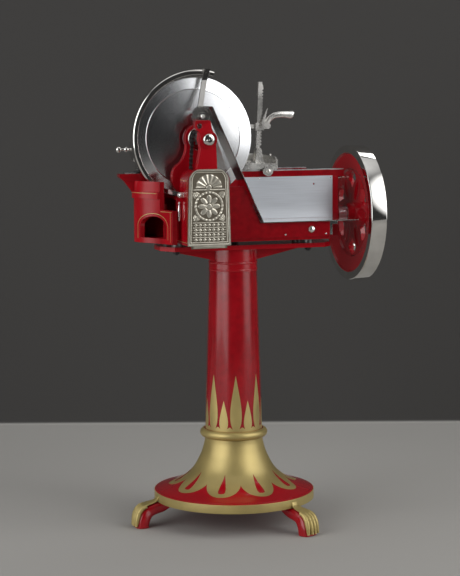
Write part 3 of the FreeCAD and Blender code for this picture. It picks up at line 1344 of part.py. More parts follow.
def guard_strut():
    """Polished bar with raised edges, its two flat eyes on the guard's clamp and the stud."""
    tx, tz = polar(GUARD_R - 3, CLAMP_ANGLE, (GUARD_X, BLADE_Z))
    top_y = GUARD_Y[0] - CLAMP_D - STRUT_T
    low_y = REAR_WALL[0] - STRUT_T
    half = STRUT_W / 2
    knees = [(tz + 6, top_y), (tz - 26, top_y), (STUD_Z + 26, low_y), (STUD_Z - 4, low_y)]
    back = [(z, y + STRUT_T) for z, y in reversed(knees)]
    ribbon = prism("x", [(y, z) for z, y in knees + back], -half, half)
    trough = prism("x", [(y - 2, z) for z, y in knees[:-1]]
                   + [(y + 2, z) for z, y in reversed(knees[:-1])], -half + 3.5, half - 3.5)
    bar_part = ribbon.cut(trough)
    skew = FreeCAD.Matrix()
    low_x = STUD_X - STRUT_OFFSET
    skew.A13 = (tx - low_x) / (tz - STUD_Z)
    skew.A14 = low_x - STUD_Z * skew.A13
    bar_part = bar_part.transformGeometry(skew)
    eye = bar("y", (STUD_X, STUD_Z), EAR_R - 1, low_y, REAR_WALL[0])
    screw = bar("y", (tx, tz - 2), 5, top_y - 4, top_y + STRUT_T)
    return join([bar_part, eye, screw]).cut(bar("y", (STUD_X, STUD_Z), STUD_R, -120, 0))


def guard_strap():
    """Thin strap from the guard's lower end to a knurled nut on the side of the box."""
    x0, z0 = polar(GUARD_R - 6, GUARD_TO - 2, (GUARD_X, BLADE_Z))
    nut = (STRAP_END_Y, STRAP_END_Z)
    face = BOX_LEFT - STRAP_T
    a = V(x0, GUARD_Y[0] - STRAP_T, z0)
    b = V(face, STRAP_END_Y, STRAP_END_Z)
    u = b - a
    length = u.Length
    u.normalize()
    w = V(0, 0, 1) - u * u.z
    w.normalize()
    n = u.cross(w)
    h = STRAP_W / 2
    points = [a + w * h, a - w * h, a - w * h + n * STRAP_T, a + w * h + n * STRAP_T]
    band = Part.Face(Part.makePolygon(points + points[:1])).extrude(u * length)
    band = band.cut(block((face, BOX_RIGHT), (-200, BOX_BACK), (900, 1100)))
    eye = bar("x", nut, h + 2.5, face, BOX_LEFT)
    knob = turned("x", nut, [(0, face), (7, face), (7, face - 3), (8.5, face - 4),
                             (8.5, face - 11), (6, face - 13), (6, face - 17), (0, face - 18)])
    return join([band, eye, knob])


# ---- flywheel -------------------------------------------------------------------------------
def flywheel():
    """Rimmed wheel: polished rim, flat ring, and a flower of dished petals with kite openings."""
    x0 = WHEEL_X
    x1 = WHEEL_RIGHT
    ring_in = WHEEL_R - RIM_RING
    web0 = x0 + WEB_OFFSET + 3
    web1 = web0 + WHEEL_WEB
    c = 3.0
    hub0 = x0 + (WHEEL_W - WHEEL_HUB_L) / 2
    hub1 = hub0 + WHEEL_HUB_L
    profile = [(SHAFT_R, hub0), (WHEEL_HUB_R, hub0), (WHEEL_HUB_R + 3, web0),
               (ANNULUS_IN, web0), (ANNULUS_IN + 5, x0 + WEB_OFFSET - 3),
               (ring_in - 4, x0 + 5), (ring_in, x0), (WHEEL_R - c, x0), (WHEEL_R, x0 + c),
               (WHEEL_R, x1 - c), (WHEEL_R - c, x1), (ring_in, x1), (ring_in - 4, x1 - 5),
               (ANNULUS_IN + 5, x1 - WEB_OFFSET + 3), (ANNULUS_IN, web1),
               (WHEEL_HUB_R + 3, web1), (WHEEL_HUB_R, hub1), (SHAFT_R, hub1)]
    body = turned("x", (SHAFT_Y, SHAFT_Z), profile)
    step = 360.0 / PETALS
    for k in range(PETALS):
        body = body.cut(kite_opening(90 + step * k, web0 - 12, web1 + 12))
        for x_face, side in ((web0, 1), (web1, -1)):
            body = body.cut(petal_dish(step * k, x_face, side))
    arm = crank_boss()
    body = body.fuse(arm).removeSplitter()
    return body.cut(bar("x", CRANK_CENTRE, SPINDLE_R - 1.5, web0 - 1, x1 + 10))


def kite_opening(angle, x0, x1):
    """Through opening between two petals: a kite with bowed sides."""
    outer = ANNULUS_IN - 2
    mid = OPENING_IN + (outer - OPENING_IN) * 0.56
    points = []
    for r, w in ((OPENING_IN, 0), (mid - 12, OPENING_HALF * 0.48), (mid, OPENING_HALF),
                 (outer - 9, OPENING_HALF * 0.66), (outer, 0)):
        points.append((r, w))
    outline = points + [(r, -w) for r, w in points[-2:0:-1]]
    t = math.radians(angle)
    turned_points = [(SHAFT_Y + r * math.cos(t) - w * math.sin(t),
                      SHAFT_Z + r * math.sin(t) + w * math.cos(t)) for r, w in outline]
    return prism("x", turned_points, x0, x1)


def petal_dish(angle, x_face, side):
    """Shallow spoon cut into one petal."""
    ball = Part.makeSphere(1.0)
    stretch = FreeCAD.Matrix()
    stretch.scale(V(5.0, 34.0, 17.0))
    dish = ball.transformGeometry(stretch)
    dish.translate(V(0, (WHEEL_HUB_R + ANNULUS_IN) / 2, 0))
    dish.rotate(V(0, 0, 0), AXES["x"], angle)
    dish.translate(V(x_face - side * 1.0, SHAFT_Y, SHAFT_Z))
    return dish


def crank_boss():
    """Boss on the outer face of the wheel for the crank spindle."""
    web1 = WHEEL_X + WEB_OFFSET + 3 + WHEEL_WEB
    return bar("x", CRANK_CENTRE, SPINDLE_R + 8, web1 - 6, WHEEL_RIGHT)


def wheel_nut():
    across = (SHAFT_Y, SHAFT_Z)
    hub1 = WHEEL_X + (WHEEL_W + WHEEL_HUB_L) / 2
    nut = hexagon("x", across, 38, hub1, hub1 + 12)
    washer = bar("x", across, 24, hub1, hub1 + 2.5)
    return nut.fuse(washer).removeSplitter().cut(bar("x", across, SHAFT_R, hub1 - 1, hub1 + 13))


def crank_spindle():
    """Fixed pin of the crank: threaded root, bright collar, long journal and end button."""
    x = WHEEL_RIGHT
    root = WHEEL_X + WEB_OFFSET + 3
    r = SPINDLE_R
    end = HANDLE_END
    profile = [(0, root), (r - 1.5, root), (r - 1.5, x), (r + 5, x), (r + 5, x + 6), (r, x + 9),
               (r, end - 7), (r + 3, end - 7), (r + 3, end - 3), (r, end), (0, end)]
    return turned("x", CRANK_CENTRE, profile)


def crank_grip():
    """Turned grip that spins on the spindle."""
    gap = RUN_CLEAR
    x0 = WHEEL_RIGHT + 9.4
    length = HANDLE_END - 7.4 - x0
    r = GRIP_R
    shares = [(0.62, 0.0), (0.80, 0.05), (0.78, 0.12), (0.98, 0.40), (1.0, 0.62), (0.86, 0.88),
              (0.60, 1.0)]
    outer = [(r * k, x0 + length * s) for k, s in shares]
    return turned("x", CRANK_CENTRE, [(SPINDLE_R + gap, x0)] + outer
                  + [(SPINDLE_R + gap, x0 + length)])


# ---- dial and stop --------------------------------------------------------------------------
def dial_bracket():
    """Post and bearing of the thickness dial, on top of the base's left end."""
    x = DIAL_X
    post = prism("x", [(DIAL_Y - 20, BED_Z), (DIAL_Y + 4, BED_Z), (DIAL_Y + 12, DIAL_Z),
                       (DIAL_Y - 12, DIAL_Z)], x + DIAL_T + 1, x + DIAL_T + 1 + POST_T)
    boss = bar("x", (DIAL_Y, DIAL_Z), 17, x + DIAL_T + 1, x + DIAL_T + 1 + POST_T + 6)
    foot = block((x + DIAL_T + 1, x + 72), (DIAL_Y - 30, DIAL_Y + 4), (BED_Z, BED_Z + 8))
    body = join([post, boss, foot])
    return body.cut(bar("x", (DIAL_Y, DIAL_Z), 6 + RUN_CLEAR, x, x + 60))


def thickness_dial():
    """Domed dial with its spindle, lever arm and ball knob."""
    x = DIAL_X
    across = (DIAL_Y, DIAL_Z)
    disc = turned("x", across, [(0, x - 6), (DIAL_R * 0.45, x - 5), (DIAL_R * 0.86, x - 1),
                                (DIAL_R, x + 3), (DIAL_R, x + DIAL_T), (6, x + DIAL_T),
                                (6, x + DIAL_T + POST_T + 12), (0, x + DIAL_T + POST_T + 12)])
    stem = turned("x", across, [(0, x - KNOB_REACH + 4), (3.2, x - KNOB_REACH + 4),
                                (3.2, x - 26), (7, x - 22), (7, x - 14), (3.6, x - 10),
                                (3.6, x - 4), (0, x - 4)])
    ball = Part.makeSphere(KNOB_R, V(x - KNOB_REACH + KNOB_R, *across), AXES["x"])
    return join([disc, stem, ball])


def stop_rod():
    """Bright stop rod that stands out of the right end of the bed."""
    y = BED_FRONT + RAIL_W / 2
    z = BED_Z - 4.5
    x = BED_RIGHT
    return turned("x", (y, z), [(0, x), (3, x), (3, x + 30), (5, x + 31), (5, x + 38), (0, x + 40)])


# ---- everything -----------------------------------------------------------------------------
def pieces():
    parts = {
        "pedestal_base": pedestal_base(),
        "pedestal_column": pedestal_column(),
        "column_collar": column_collar(),
        "pedestal_head": pedestal_head(),
        "tie_rod": tie_rod(),
        "head_pads": head_pads(),
        "head_bolts": head_bolts(),
        "base_frame": base_frame(),
        "side_cover": side_cover(),
        "cover_screw": cover_screw(),
        "splash_plate": splash_plate(),
        "receiving_shelf": receiving_shelf(),
        "shelf_bracket": shelf_bracket(),
        "front_rail": front_rail(),
        "rear_rail": rear_rail(),
        "rail_strips": rail_strips(),
        "carriage": carriage(),
        "connecting_rod": connecting_rod(),
        "meat_table": meat_table(),
        "table_cam": table_cam(),
        "feed_screw": feed_screw(),
        "feed_wheel": feed_wheel(),
        "post_foot": post_foot(),
        "rack_post": rack_post(),
        "clamp_sleeve": clamp_sleeve(),
        "clamp_shoe": clamp_shoe(),
        "clamp_lever": clamp_lever(),
        "clamp_pawl": clamp_pawl(),
        "main_shaft": main_shaft(),
        "main_bevel_gear": main_bevel(),
        "shaft_bushes": shaft_bushes(),
        "layshaft": layshaft(),
        "lay_bevel_gear": lay_bevel(),
        "crank_arm": crank_arm(),
        "lower_sprocket": sprocket(LOWER_TEETH, (LAY_X, SHAFT_Z), LAY_R, 17, BOX_BACK - 8),
        "upper_sprocket": sprocket(UPPER_TEETH, (LAY_X, BLADE_Z), ARBOR_R, 15,
                                   REAR_WALL[0] - 4.4),
        "drive_chain": drive_chain(),
        "blade": blade(),
        "arbor": arbor(),
        "arbor_bushes": arbor_bushes(),
        "bearing_cap": bearing_cap(),
        "blade_bracket": blade_bracket(),
        "plaque": plaque(),
        "strut_stud": strut_stud(),
        "strut_wheel": strut_wheel(),
        "box_handle": box_handle(),
        "blade_guard": blade_guard(),
        "guard_clamp": guard_clamp(),
        "guard_strut": guard_strut(),
        "guard_strap": guard_strap(),
        "flywheel": flywheel(),
        "wheel_nut": wheel_nut(),
        "crank_spindle": crank_spindle(),
        "crank_grip": crank_grip(),
        "dial_bracket": dial_bracket(),
        "thickness_dial": thickness_dial(),
        "stop_rod": stop_rod(),
    }
    for name, angle in FOOT_ANGLES.items():
        parts["paw_foot_" + name] = paw_foot(angle)
    return parts


def finish():
    os.makedirs("parts", exist_ok=True)
    for name, shape in pieces().items():
        shape.translate(V(-FRAME_X, 0, 0))
        shape.exportStep("parts/" + name + ".step")


if __name__ == "__main__":
    finish()
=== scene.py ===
"""Looks of a hand-cranked flywheel meat slicer on a painted cast pedestal.

Lengths are worked out in millimetres about the pedestal's own axis (X to the flywheel, -Y to the
side where the slices fall, Z up) and moved into the frame, in metres, when a mesh is made.
"""
import json

import bmesh
import bpy
import numpy as np
from mathutils import Matrix, Vector
from mathutils.bvhtree import BVHTree


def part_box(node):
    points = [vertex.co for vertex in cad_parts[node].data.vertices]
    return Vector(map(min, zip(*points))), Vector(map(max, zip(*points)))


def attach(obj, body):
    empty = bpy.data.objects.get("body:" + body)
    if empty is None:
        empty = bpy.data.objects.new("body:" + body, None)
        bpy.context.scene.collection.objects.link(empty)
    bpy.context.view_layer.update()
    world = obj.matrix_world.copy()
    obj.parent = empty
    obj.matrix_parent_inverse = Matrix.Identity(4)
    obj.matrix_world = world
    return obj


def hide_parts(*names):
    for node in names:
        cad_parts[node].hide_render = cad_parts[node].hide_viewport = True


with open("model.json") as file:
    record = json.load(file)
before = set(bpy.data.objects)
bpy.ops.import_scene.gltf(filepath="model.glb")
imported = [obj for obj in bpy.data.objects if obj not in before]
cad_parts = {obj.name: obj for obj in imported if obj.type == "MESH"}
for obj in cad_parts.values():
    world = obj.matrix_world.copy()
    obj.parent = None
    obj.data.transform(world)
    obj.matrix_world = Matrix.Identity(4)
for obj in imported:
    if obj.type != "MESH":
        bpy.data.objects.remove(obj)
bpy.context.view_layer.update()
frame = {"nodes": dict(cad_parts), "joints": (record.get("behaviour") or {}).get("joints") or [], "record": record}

bl_info = {
    "name": "Flywheel Meat Slicer",
    "version": (1, 0, 0),
    "blender": (4, 5, 0),
    "location": "View3D > Sidebar > Slicer",
    "description": "Builds the painted, plated and turned pieces of a hand-cranked meat slicer",
    "category": "Add Mesh",
}

MM = 0.001
STAND = "stand"
FULL_TURN = 2 * np.pi

# ---- places read from the frame, in millimetres about the pedestal's axis ---------------------
AXIS_X = sum(corner[0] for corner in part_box("pedestal_column")) / 2 / MM
AXIS = np.array([AXIS_X, 0, 0])
JOINTS = {j["name"]: j for j in frame["joints"]}


def span(node):
    """Lowest and highest corner of a node."""
    return [np.array(corner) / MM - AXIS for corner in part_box(node)]


def joint_at(name):
    """Point of a hinge."""
    return np.array(JOINTS[name]["pos_m"]) / MM - AXIS


BASE_LO, BASE_HI = span("pedestal_base")
COLUMN_LO, COLUMN_HI = span("pedestal_column")
COLLAR_LO, COLLAR_HI = span("column_collar")
BLADE_LO, BLADE_HI = span("blade")
WHEEL_LO, WHEEL_HI = span("flywheel")
PLAQUE_LO, PLAQUE_HI = span("plaque")
GRIP_LO, GRIP_HI = span("crank_grip")
CAP_LO, CAP_HI = span("bearing_cap")
DIAL_LO, DIAL_HI = span("thickness_dial")
SPLASH_LO, SPLASH_HI = span("splash_plate")

RIM_R, RIM_FOOT = BASE_HI[0], BASE_LO[2]
RIM_TOP = RIM_FOOT + 25.0
RIM_IN, RIM_UP, RIM_WALL = 9.0, 3.0, 19.0
BELL_R, BELL_WALL = 84.0, 10.0
BELL_TOP = BASE_HI[2] - 25.0
BELL_DROP = 6.0
BEAD_R, BEAD_AT = 12.5, BELL_R + 2
WEB_DOWN, WEB_THICK, TIE_HOLE = 28.0, 12.0, 8.5
FLARE = ((1, 0), (0.62, 0.11), (0.29, 0.34), (0.10, 0.64), (0.02, 0.87), (0, 1))
COLUMN_TOP_R, COLUMN_WALL = 70.0, 8.0
COLLAR_R, COLLAR_HOLE = 71.0, 62.0
BLADE_R = (BLADE_HI[2] - BLADE_LO[2]) / 2
BLADE_AT = joint_at("blade_spin")
WHEEL_R = (WHEEL_HI[2] - WHEEL_LO[2]) / 2
WHEEL_MIDDLE = (0, *joint_at("flywheel_spin")[1:])
WHEEL_X = (379.0, 427.0)
GUARD_R = 195.0
GUARD_CENTRE = (-108.0, BLADE_AT[2])
POST_LEAN = np.radians(2.5)
SHOW_EDGES = np.radians(32)


# ---- settings ---------------------------------------------------------------------------------
def colour(name, description, value):
    return bpy.props.FloatVectorProperty(name=name, description=description, default=value,
                                         subtype="COLOR", size=3, min=0.0, max=1.0)


def length(name, description, value):
    return bpy.props.FloatProperty(name=name, description=description, default=value,
                                   min=0.0, unit="LENGTH")


def count(name, description, value, low, high):
    return bpy.props.IntProperty(name=name, description=description, default=value,
                                 min=low, max=high)


class FinishSettings(bpy.types.PropertyGroup):
    """Colours of the paints, platings and grips."""
    enamel: colour("Enamel", "Glossy red of the castings", (0.36, 0.0035, 0.0095))
    gilding: colour("Gilding", "Gold paint of the ornament", (0.47, 0.37, 0.14))
    nickel: colour("Nickel", "Plated fittings", (0.79, 0.775, 0.745))
    steel: colour("Steel", "Ground knife and slides", (0.66, 0.67, 0.69))
    iron: colour("Iron", "Oiled chain, gears and bolts", (0.035, 0.034, 0.035))
    bronze: colour("Bronze", "Turned bushes", (0.50, 0.31, 0.13))
    grip: colour("Grip", "Varnished grip", (0.055, 0.022, 0.012))


class OrnamentSettings(bpy.types.PropertyGroup):
    """Painted ornament of the pedestal and the striping of the castings."""
    lobes: count("Lobes", "Scallops of the gilded skirt", 9, 3, 12)
    leaves: count("Leaves", "Tall leaves round the column", 7, 2, 10)
    leaf_height: length("Leaf height", "Height of a tall leaf", 0.165)
    stripe_width: length("Stripe width", "Width of a gold line", 0.0016)


class PlaqueSettings(bpy.types.PropertyGroup):
    """Relief of the cast front plate."""
    relief: length("Relief", "Height of the raised ornament", 0.0017)
    petals: count("Petals", "Petals of the rosette", 8, 3, 24)


class StageSettings(bpy.types.PropertyGroup):
    """Floor, backdrop and lamps."""
    floor: colour("Floor", "Colour of the floor", (0.38, 0.37, 0.35))
    backdrop: colour("Backdrop", "Colour of the backdrop", (0.045, 0.043, 0.041))
    key_power: bpy.props.FloatProperty(name="Key lamp", description="Power of the main lamp",
                                       default=18.0, min=0.0, unit="POWER")


# ---- curves and outlines ----------------------------------------------------------------------
def unit(vectors):
    """Vectors of length 1 in the same directions."""
    return vectors / np.linalg.norm(vectors, axis=1, keepdims=True)


def soft(value, low, high):
    """Smooth step: 0 up to low, 1 from high on, and 3 t^2 - 2 t^3 between them."""
    t = np.clip((value - low) / (high - low), 0, 1)
    return t * t * (3 - 2 * t)


def soft_off(value, low, high):
    """The smooth step turned over: 1 up to low and 0 from high on."""
    return 1 - soft(value, low, high)


def rounded_square(angle, power):
    """Cosine and sine, each raised to a power with its sign kept: a circle pushed to a square."""
    return [np.sign(v) * np.abs(v) ** power for v in (np.cos(angle), np.sin(angle))]


def around(radius, angle, z):
    """Point at a radius and an angle about the pedestal's axis, and a height."""
    return np.stack([radius * np.cos(angle), radius * np.sin(angle), z], -1)


def eased(profile, radius, steps=4):
    """Closed outline with each corner replaced by a quadratic curve of at most this radius."""
    p = np.array(profile, float)
    back, ahead = np.roll(p, 1, 0) - p, np.roll(p, -1, 0) - p
    back_l = np.linalg.norm(back, axis=1, keepdims=True)
    ahead_l = np.linalg.norm(ahead, axis=1, keepdims=True)
    cut = np.minimum(radius, 0.45 * np.minimum(back_l, ahead_l))
    start = p + back / back_l * cut
    end = p + ahead / ahead_l * cut
    t = np.linspace(0, 1, steps + 1)[None, :, None]
    curve = start[:, None] * (1 - t) ** 2 + 2 * p[:, None] * t * (1 - t) + end[:, None] * t ** 2
    return curve.reshape(-1, p.shape[1])


def smooth_line(points, samples):
    """Catmull-Rom curve through the points, sampled evenly by parameter."""
    p = np.array(points, float)
    p = np.vstack([2 * p[0] - p[1], p, 2 * p[-1] - p[-2]])
    s = np.linspace(0, len(p) - 3 - 1e-9, samples)
    k = s.astype(int)
    t = (s - k)[:, None]
    a, b, c, d = p[k], p[k + 1], p[k + 2], p[k + 3]
    return 0.5 * (2 * b + (c - a) * t + (2 * a - 5 * b + 4 * c - d) * t ** 2
                  + (3 * b - a - 3 * c + d) * t ** 3)


# ---- grids: the points, whether they wrap by row, and whether they wrap by column -------------
AXES = {"x": ((0, 1, 0), (0, 0, 1), (1, 0, 0)),
        "y": ((1, 0, 0), (0, 0, 1), (0, 1, 0)),
        "z": ((1, 0, 0), (0, 1, 0), (0, 0, 1))}


def turned(axis, centre, profile, steps):
    """Surface of revolution: radius times the unit circle, plus the distance along the axis."""
    side, up, along = (np.array(v, float) for v in AXES[axis])
    radius, travel = np.array(profile, float).T
    angle = np.linspace(0, FULL_TURN, steps, endpoint=False)[:, None, None]
    circle = side * np.cos(angle) + up * np.sin(angle)
    points = circle * radius[None, :, None] + along * travel[None, :, None] + np.array(centre)
    return points, True, True


def upright(profile, steps):
    """Profile turned about the pedestal's own axis."""
    return turned("z", (0, 0, 0), profile, steps)


def tube(path, radius, steps):
    """Round bar: a circle carried along the path on its own side and up directions."""
    path = np.array(path, float)
    ahead = unit(np.gradient(path, axis=0))
    side = unit(np.cross(ahead, np.where(np.abs(ahead[:, 2:]) > 0.9, [0, 1.0, 0], [0, 0, 1.0])))
    up = np.cross(side, ahead)
    radius = np.broadcast_to(radius, len(path))[:, None, None]
    angle = np.linspace(0, FULL_TURN, steps, endpoint=False)[None, :, None]
    ring = side[:, None] * np.cos(angle) + up[:, None] * np.sin(angle)
    ends = [np.repeat(path[k][None, None], steps, 1) for k in (0, -1)]
    return np.concatenate([ends[0], path[:, None] + ring * radius, ends[1]]), False, True


def capped(rows):
    """Swept rows closed at both ends by a fan to the middle of each end."""
    ends = [np.repeat(rows[k][None].mean(1, keepdims=True), rows.shape[1], 1) for k in (0, -1)]
    return np.concatenate([ends[0], rows, ends[1]]), False, True


def shell(front, back):
    """Closed skin between two grids of the same size: one loop per row, its ends capped."""
    loop = np.concatenate([front, back[:, ::-1]], 1)
    caps = [np.concatenate([g, g[:, ::-1]], 1) for g in ((front[:1] + back[:1]) / 2,
                                                        (front[-1:] + back[-1:]) / 2)]
    return np.concatenate([caps[0], loop, caps[1]]), False, True


def box_bar(low, high, ease):
    """Block with eased edges: an eased rectangle carried along Y, its ends drawn in."""
    outline = eased([(low[0], low[2]), (high[0], low[2]), (high[0], high[2]), (low[0], high[2])],
                    ease, 3)
    centre = np.array([low[0] + high[0], low[2] + high[2]]) / 2
    drawn_in = 1 - 2 * ease / (high[2] - low[2])
    rows = ((low[1], 0.0), (low[1], drawn_in), (low[1] + ease, 1.0), (high[1] - ease, 1.0),
            (high[1], drawn_in), (high[1], 0.0))
    grid = []
    for y, k in rows:
        x, z = (centre + (outline - centre) * k).T
        grid.append(np.stack([x, np.full_like(x, y), z], -1))
    return np.stack(grid), False, True


def turned_about_axis(grid, angle):
    """Grid turned about the pedestal's axis."""
    points, wrap_rows, wrap_columns = grid
    c, s = np.cos(angle), np.sin(angle)
    return points @ np.array([[c, s, 0], [-s, c, 0], [0, 0, 1]]), wrap_rows, wrap_columns


# ---- meshes -----------------------------------------------------------------------------------
def grid_faces(rows, columns, wrap_rows, wrap_columns, start):
    """Quads of a grid of points, joined to its first row or column where it wraps."""
    i = np.arange(rows if wrap_rows else rows - 1)[:, None]
    j = np.arange(columns if wrap_columns else columns - 1)[None, :]
    below, right = (i + 1) % rows, (j + 1) % columns
    corners = [i * columns + j, below * columns + j, below * columns + right, i * columns + right]
    return np.stack(np.broadcast_arrays(*corners), -1).reshape(-1, 4) + start


def linked(name, data):
    """New object of this data in the scene."""
    item = bpy.data.objects.new(name, data)
    bpy.context.scene.collection.objects.link(item)
    return item


def build(name, grids, finish, slot=None, body=STAND, replaces=(), sharp=SHOW_EDGES):
    """Mesh object from grids, given the finish's material; the slot argument is not used."""
    slot = slot or finish
    points, faces, start = [], [], 0
    for grid, wrap_rows, wrap_columns in grids:
        rows, columns = grid.shape[:2]
        points.append(grid.reshape(-1, 3))
        faces.append(grid_faces(rows, columns, wrap_rows, wrap_columns, start))
        start += rows * columns
    points = (np.concatenate(points) + AXIS) * MM
    mesh = bpy.data.meshes.new(name)
    mesh.from_pydata(points.tolist(), [], np.concatenate(faces).tolist())
    merged = bmesh.new()
    merged.from_mesh(mesh)
    bmesh.ops.remove_doubles(merged, verts=merged.verts, dist=2e-6)
    bmesh.ops.dissolve_degenerate(merged, edges=merged.edges, dist=1e-7)
    bmesh.ops.recalc_face_normals(merged, faces=merged.faces)
    merged.to_mesh(mesh)
    merged.free()
    mesh.shade_smooth()
    mesh.set_sharp_from_angle(angle=float(sharp))
    mesh.materials.append(FINISHES[finish])
    piece = linked(name, mesh)
    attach(piece, body)
    if replaces:
        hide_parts(*replaces)


# ---- surfaces of the CAD solids ---------------------------------------------------------------
LINE_SUNK, LINE_PROUD = 0.4, 0.18


def skin_of(node):
    mesh = frame["nodes"][node].data
    return BVHTree.FromPolygons([v.co for v in mesh.vertices],
                                [tuple(p.vertices) for p in mesh.polygons])


def cast(tree, points, direction):
    """Where straight lines from the points first meet a solid, and the solid's normals there."""
    direction = Vector(direction)
    hits, normals = [], []
    for point in (np.array(points, float) + AXIS) * MM:
        place, normal, _, _ = tree.ray_cast(Vector(point), direction)
        if place is None:
            raise RuntimeError("a painted line misses its casting")
        hits.append(np.array(place) / MM - AXIS)
        normals.append(np.array(normal) * (-1 if normal.dot(direction) > 0 else 1))
    return np.array(hits), np.array(normals)


def painted_line(tree, points, direction, width):
    """Flat gold line that follows a casting's skin: the hit points spread sideways by half."""
    hits, normals = cast(tree, points, direction)
    side = unit(np.cross(normals, unit(np.gradient(hits, axis=0))))
    return capped(np.stack([hits + side * width / 2 * across + normals * out for across, out in (
        (-1, -LINE_SUNK), (-1, LINE_PROUD), (1, LINE_PROUD), (1, -LINE_SUNK))], 1))


# ---- shader nodes and groups ------------------------------------------------------------------
def plug(tree, value, socket):
    """Link a socket to this one, or set a plain value on it."""
    if hasattr(value, "node"):
        tree.links.new(value, socket)
    else:
        socket.default_value = value


def feed(tree, node, **inputs):
    """Link or set named inputs of a node."""
    for label, value in inputs.items():
        plug(tree, value, node.inputs[label.replace("_", " ")])


def add(tree, kind, settings=(), **inputs):
    """Shader node of a kind with its settings, and its named inputs linked or set."""
    node = tree.nodes.new("ShaderNode" + kind)
    for key, value in dict(settings).items():
        setattr(node, key, value)
    feed(tree, node, **inputs)
    return node


def reckon(tree, kind, settings, *values):
    """Shader node of a kind whose inputs share a name: they are linked or set in their order."""
    node = add(tree, kind, settings)
    for value, socket in zip(values, node.inputs):
        plug(tree, value, socket)
    return node


def new_group(name, inputs, outputs):
    """Empty shader group with a Vector and float inputs, and float outputs."""
    group = bpy.data.node_groups.new(name, "ShaderNodeTree")
    group.interface.new_socket("Vector", in_out="INPUT", socket_type="NodeSocketVector")
    for label, value in inputs:
        group.interface.new_socket(label, in_out="INPUT",
                                   socket_type="NodeSocketFloat").default_value = value
    for label in outputs:
        group.interface.new_socket(label, in_out="OUTPUT", socket_type="NodeSocketFloat")
    return group, group.nodes.new("NodeGroupInput").outputs, group.nodes.new(
        "NodeGroupOutput").inputs


def grain_group():
    """Two noises of unlike size: a fine height, and a slow tone from 0 to 1."""
    group, start, end = new_group("surface grain", [("Fine", 900.0), ("Slow", 14.0)],
                                  ["Height", "Tone"])
    for size, result, detail in (("Fine", "Height", 3.0), ("Slow", "Tone", 5.0)):
        noise = add(group, "TexNoise", Vector=start["Vector"], Scale=start[size], Detail=detail)
        group.links.new(noise.outputs["Fac"], end[result])
    return group


WEAR_STEEPNESS = 14.0


def wear_group():
    """Rubbed edges: the solid's pointiness, broken up by a noise, as a mask from 0 to 1."""
    group, start, end = new_group("edge wear", [("Spread", 0.54), ("Patches", 60.0)], ["Mask"])
    clamped = {"operation": "MULTIPLY", "use_clamp": True}
    edge = add(group, "NewGeometry")
    noise = add(group, "TexNoise", Vector=start["Vector"], Scale=start["Patches"])
    raised = reckon(group, "Math", {"operation": "SUBTRACT"}, edge.outputs["Pointiness"],
                    start["Spread"])
    steep = reckon(group, "Math", clamped, raised.outputs[0], WEAR_STEEPNESS)
    broken = reckon(group, "Math", clamped, steep.outputs[0], noise.outputs["Fac"])
    group.links.new(broken.outputs[0], end["Mask"])
    return group


GROUPS = {}


def object_place(tree):
    return add(tree, "TexCoord").outputs["Object"]


def placed_group(tree, kind, **values):
    """Outputs of the named group, made once, in a material and fed with Object coordinates."""
    if kind not in GROUPS:
        GROUPS[kind] = {"grain": grain_group, "wear": wear_group}[kind]()
    return add(tree, "Group", {"node_tree": GROUPS[kind]}, Vector=object_place(tree),
               **values).outputs


def mixed(tree, factor, first, second):
    """Colour mixed by a factor socket between two colours or sockets."""
    mix = add(tree, "Mix", {"data_type": "RGBA"}, Factor=factor)
    for value, socket in ((first, mix.inputs[6]), (second, mix.inputs[7])):
        plug(tree, value if hasattr(value, "node") else (*value, 1.0), socket)
    return mix.outputs[2]


def ranged(tree, value, low, high, to_low=0.0, to_high=1.0):
    """Value carried from one range to another and held at its ends."""
    return add(tree, "MapRange", Value=value, From_Min=low, From_Max=high, To_Min=to_low,
               To_Max=to_high).outputs["Result"]


def shade(rgb, k):
    return tuple(min(1.0, c * k) for c in rgb)


def toned(tree, value, low, high, rgb, dark, light):
    """Colour that goes from a darker to a lighter shade as the value crosses its range."""
    return mixed(tree, ranged(tree, value, low, high), shade(rgb, dark), shade(rgb, light))


def drawn_out(tree, stretch, detail):
    """Noise that is pulled out by an unlike scale along each axis."""
    pull = add(tree, "Mapping", Vector=object_place(tree), Scale=stretch)
    return add(tree, "TexNoise", Vector=pull.outputs["Vector"], Scale=1.0,
               Detail=detail).outputs["Fac"]


def object_axis(tree, axis):
    """One of the Object coordinates."""
    return add(tree, "SeparateXYZ", Vector=object_place(tree)).outputs[axis]


def finish_base(name, **sockets):
    """Material with a Principled shader whose plain numbers stand on its own sockets."""
    material = bpy.data.materials.new(name)
    material.use_nodes = True
    shader = material.node_tree.nodes["Principled BSDF"]
    feed(material.node_tree, shader, **sockets)
    return material, material.node_tree, shader


def relief(tree, shader, height, strength, distance, edge=0.0):
    """Bump from a height socket, over edges rounded by a bevel of this radius in metres."""
    bump = add(tree, "Bump", Strength=strength, Distance=distance, Height=height)
    if edge:
        bevel = add(tree, "Bevel", {"samples": 4}, Radius=edge)
        plug(tree, bevel.outputs["Normal"], bump.inputs["Normal"])
    feed(tree, shader, Normal=bump.outputs["Normal"])


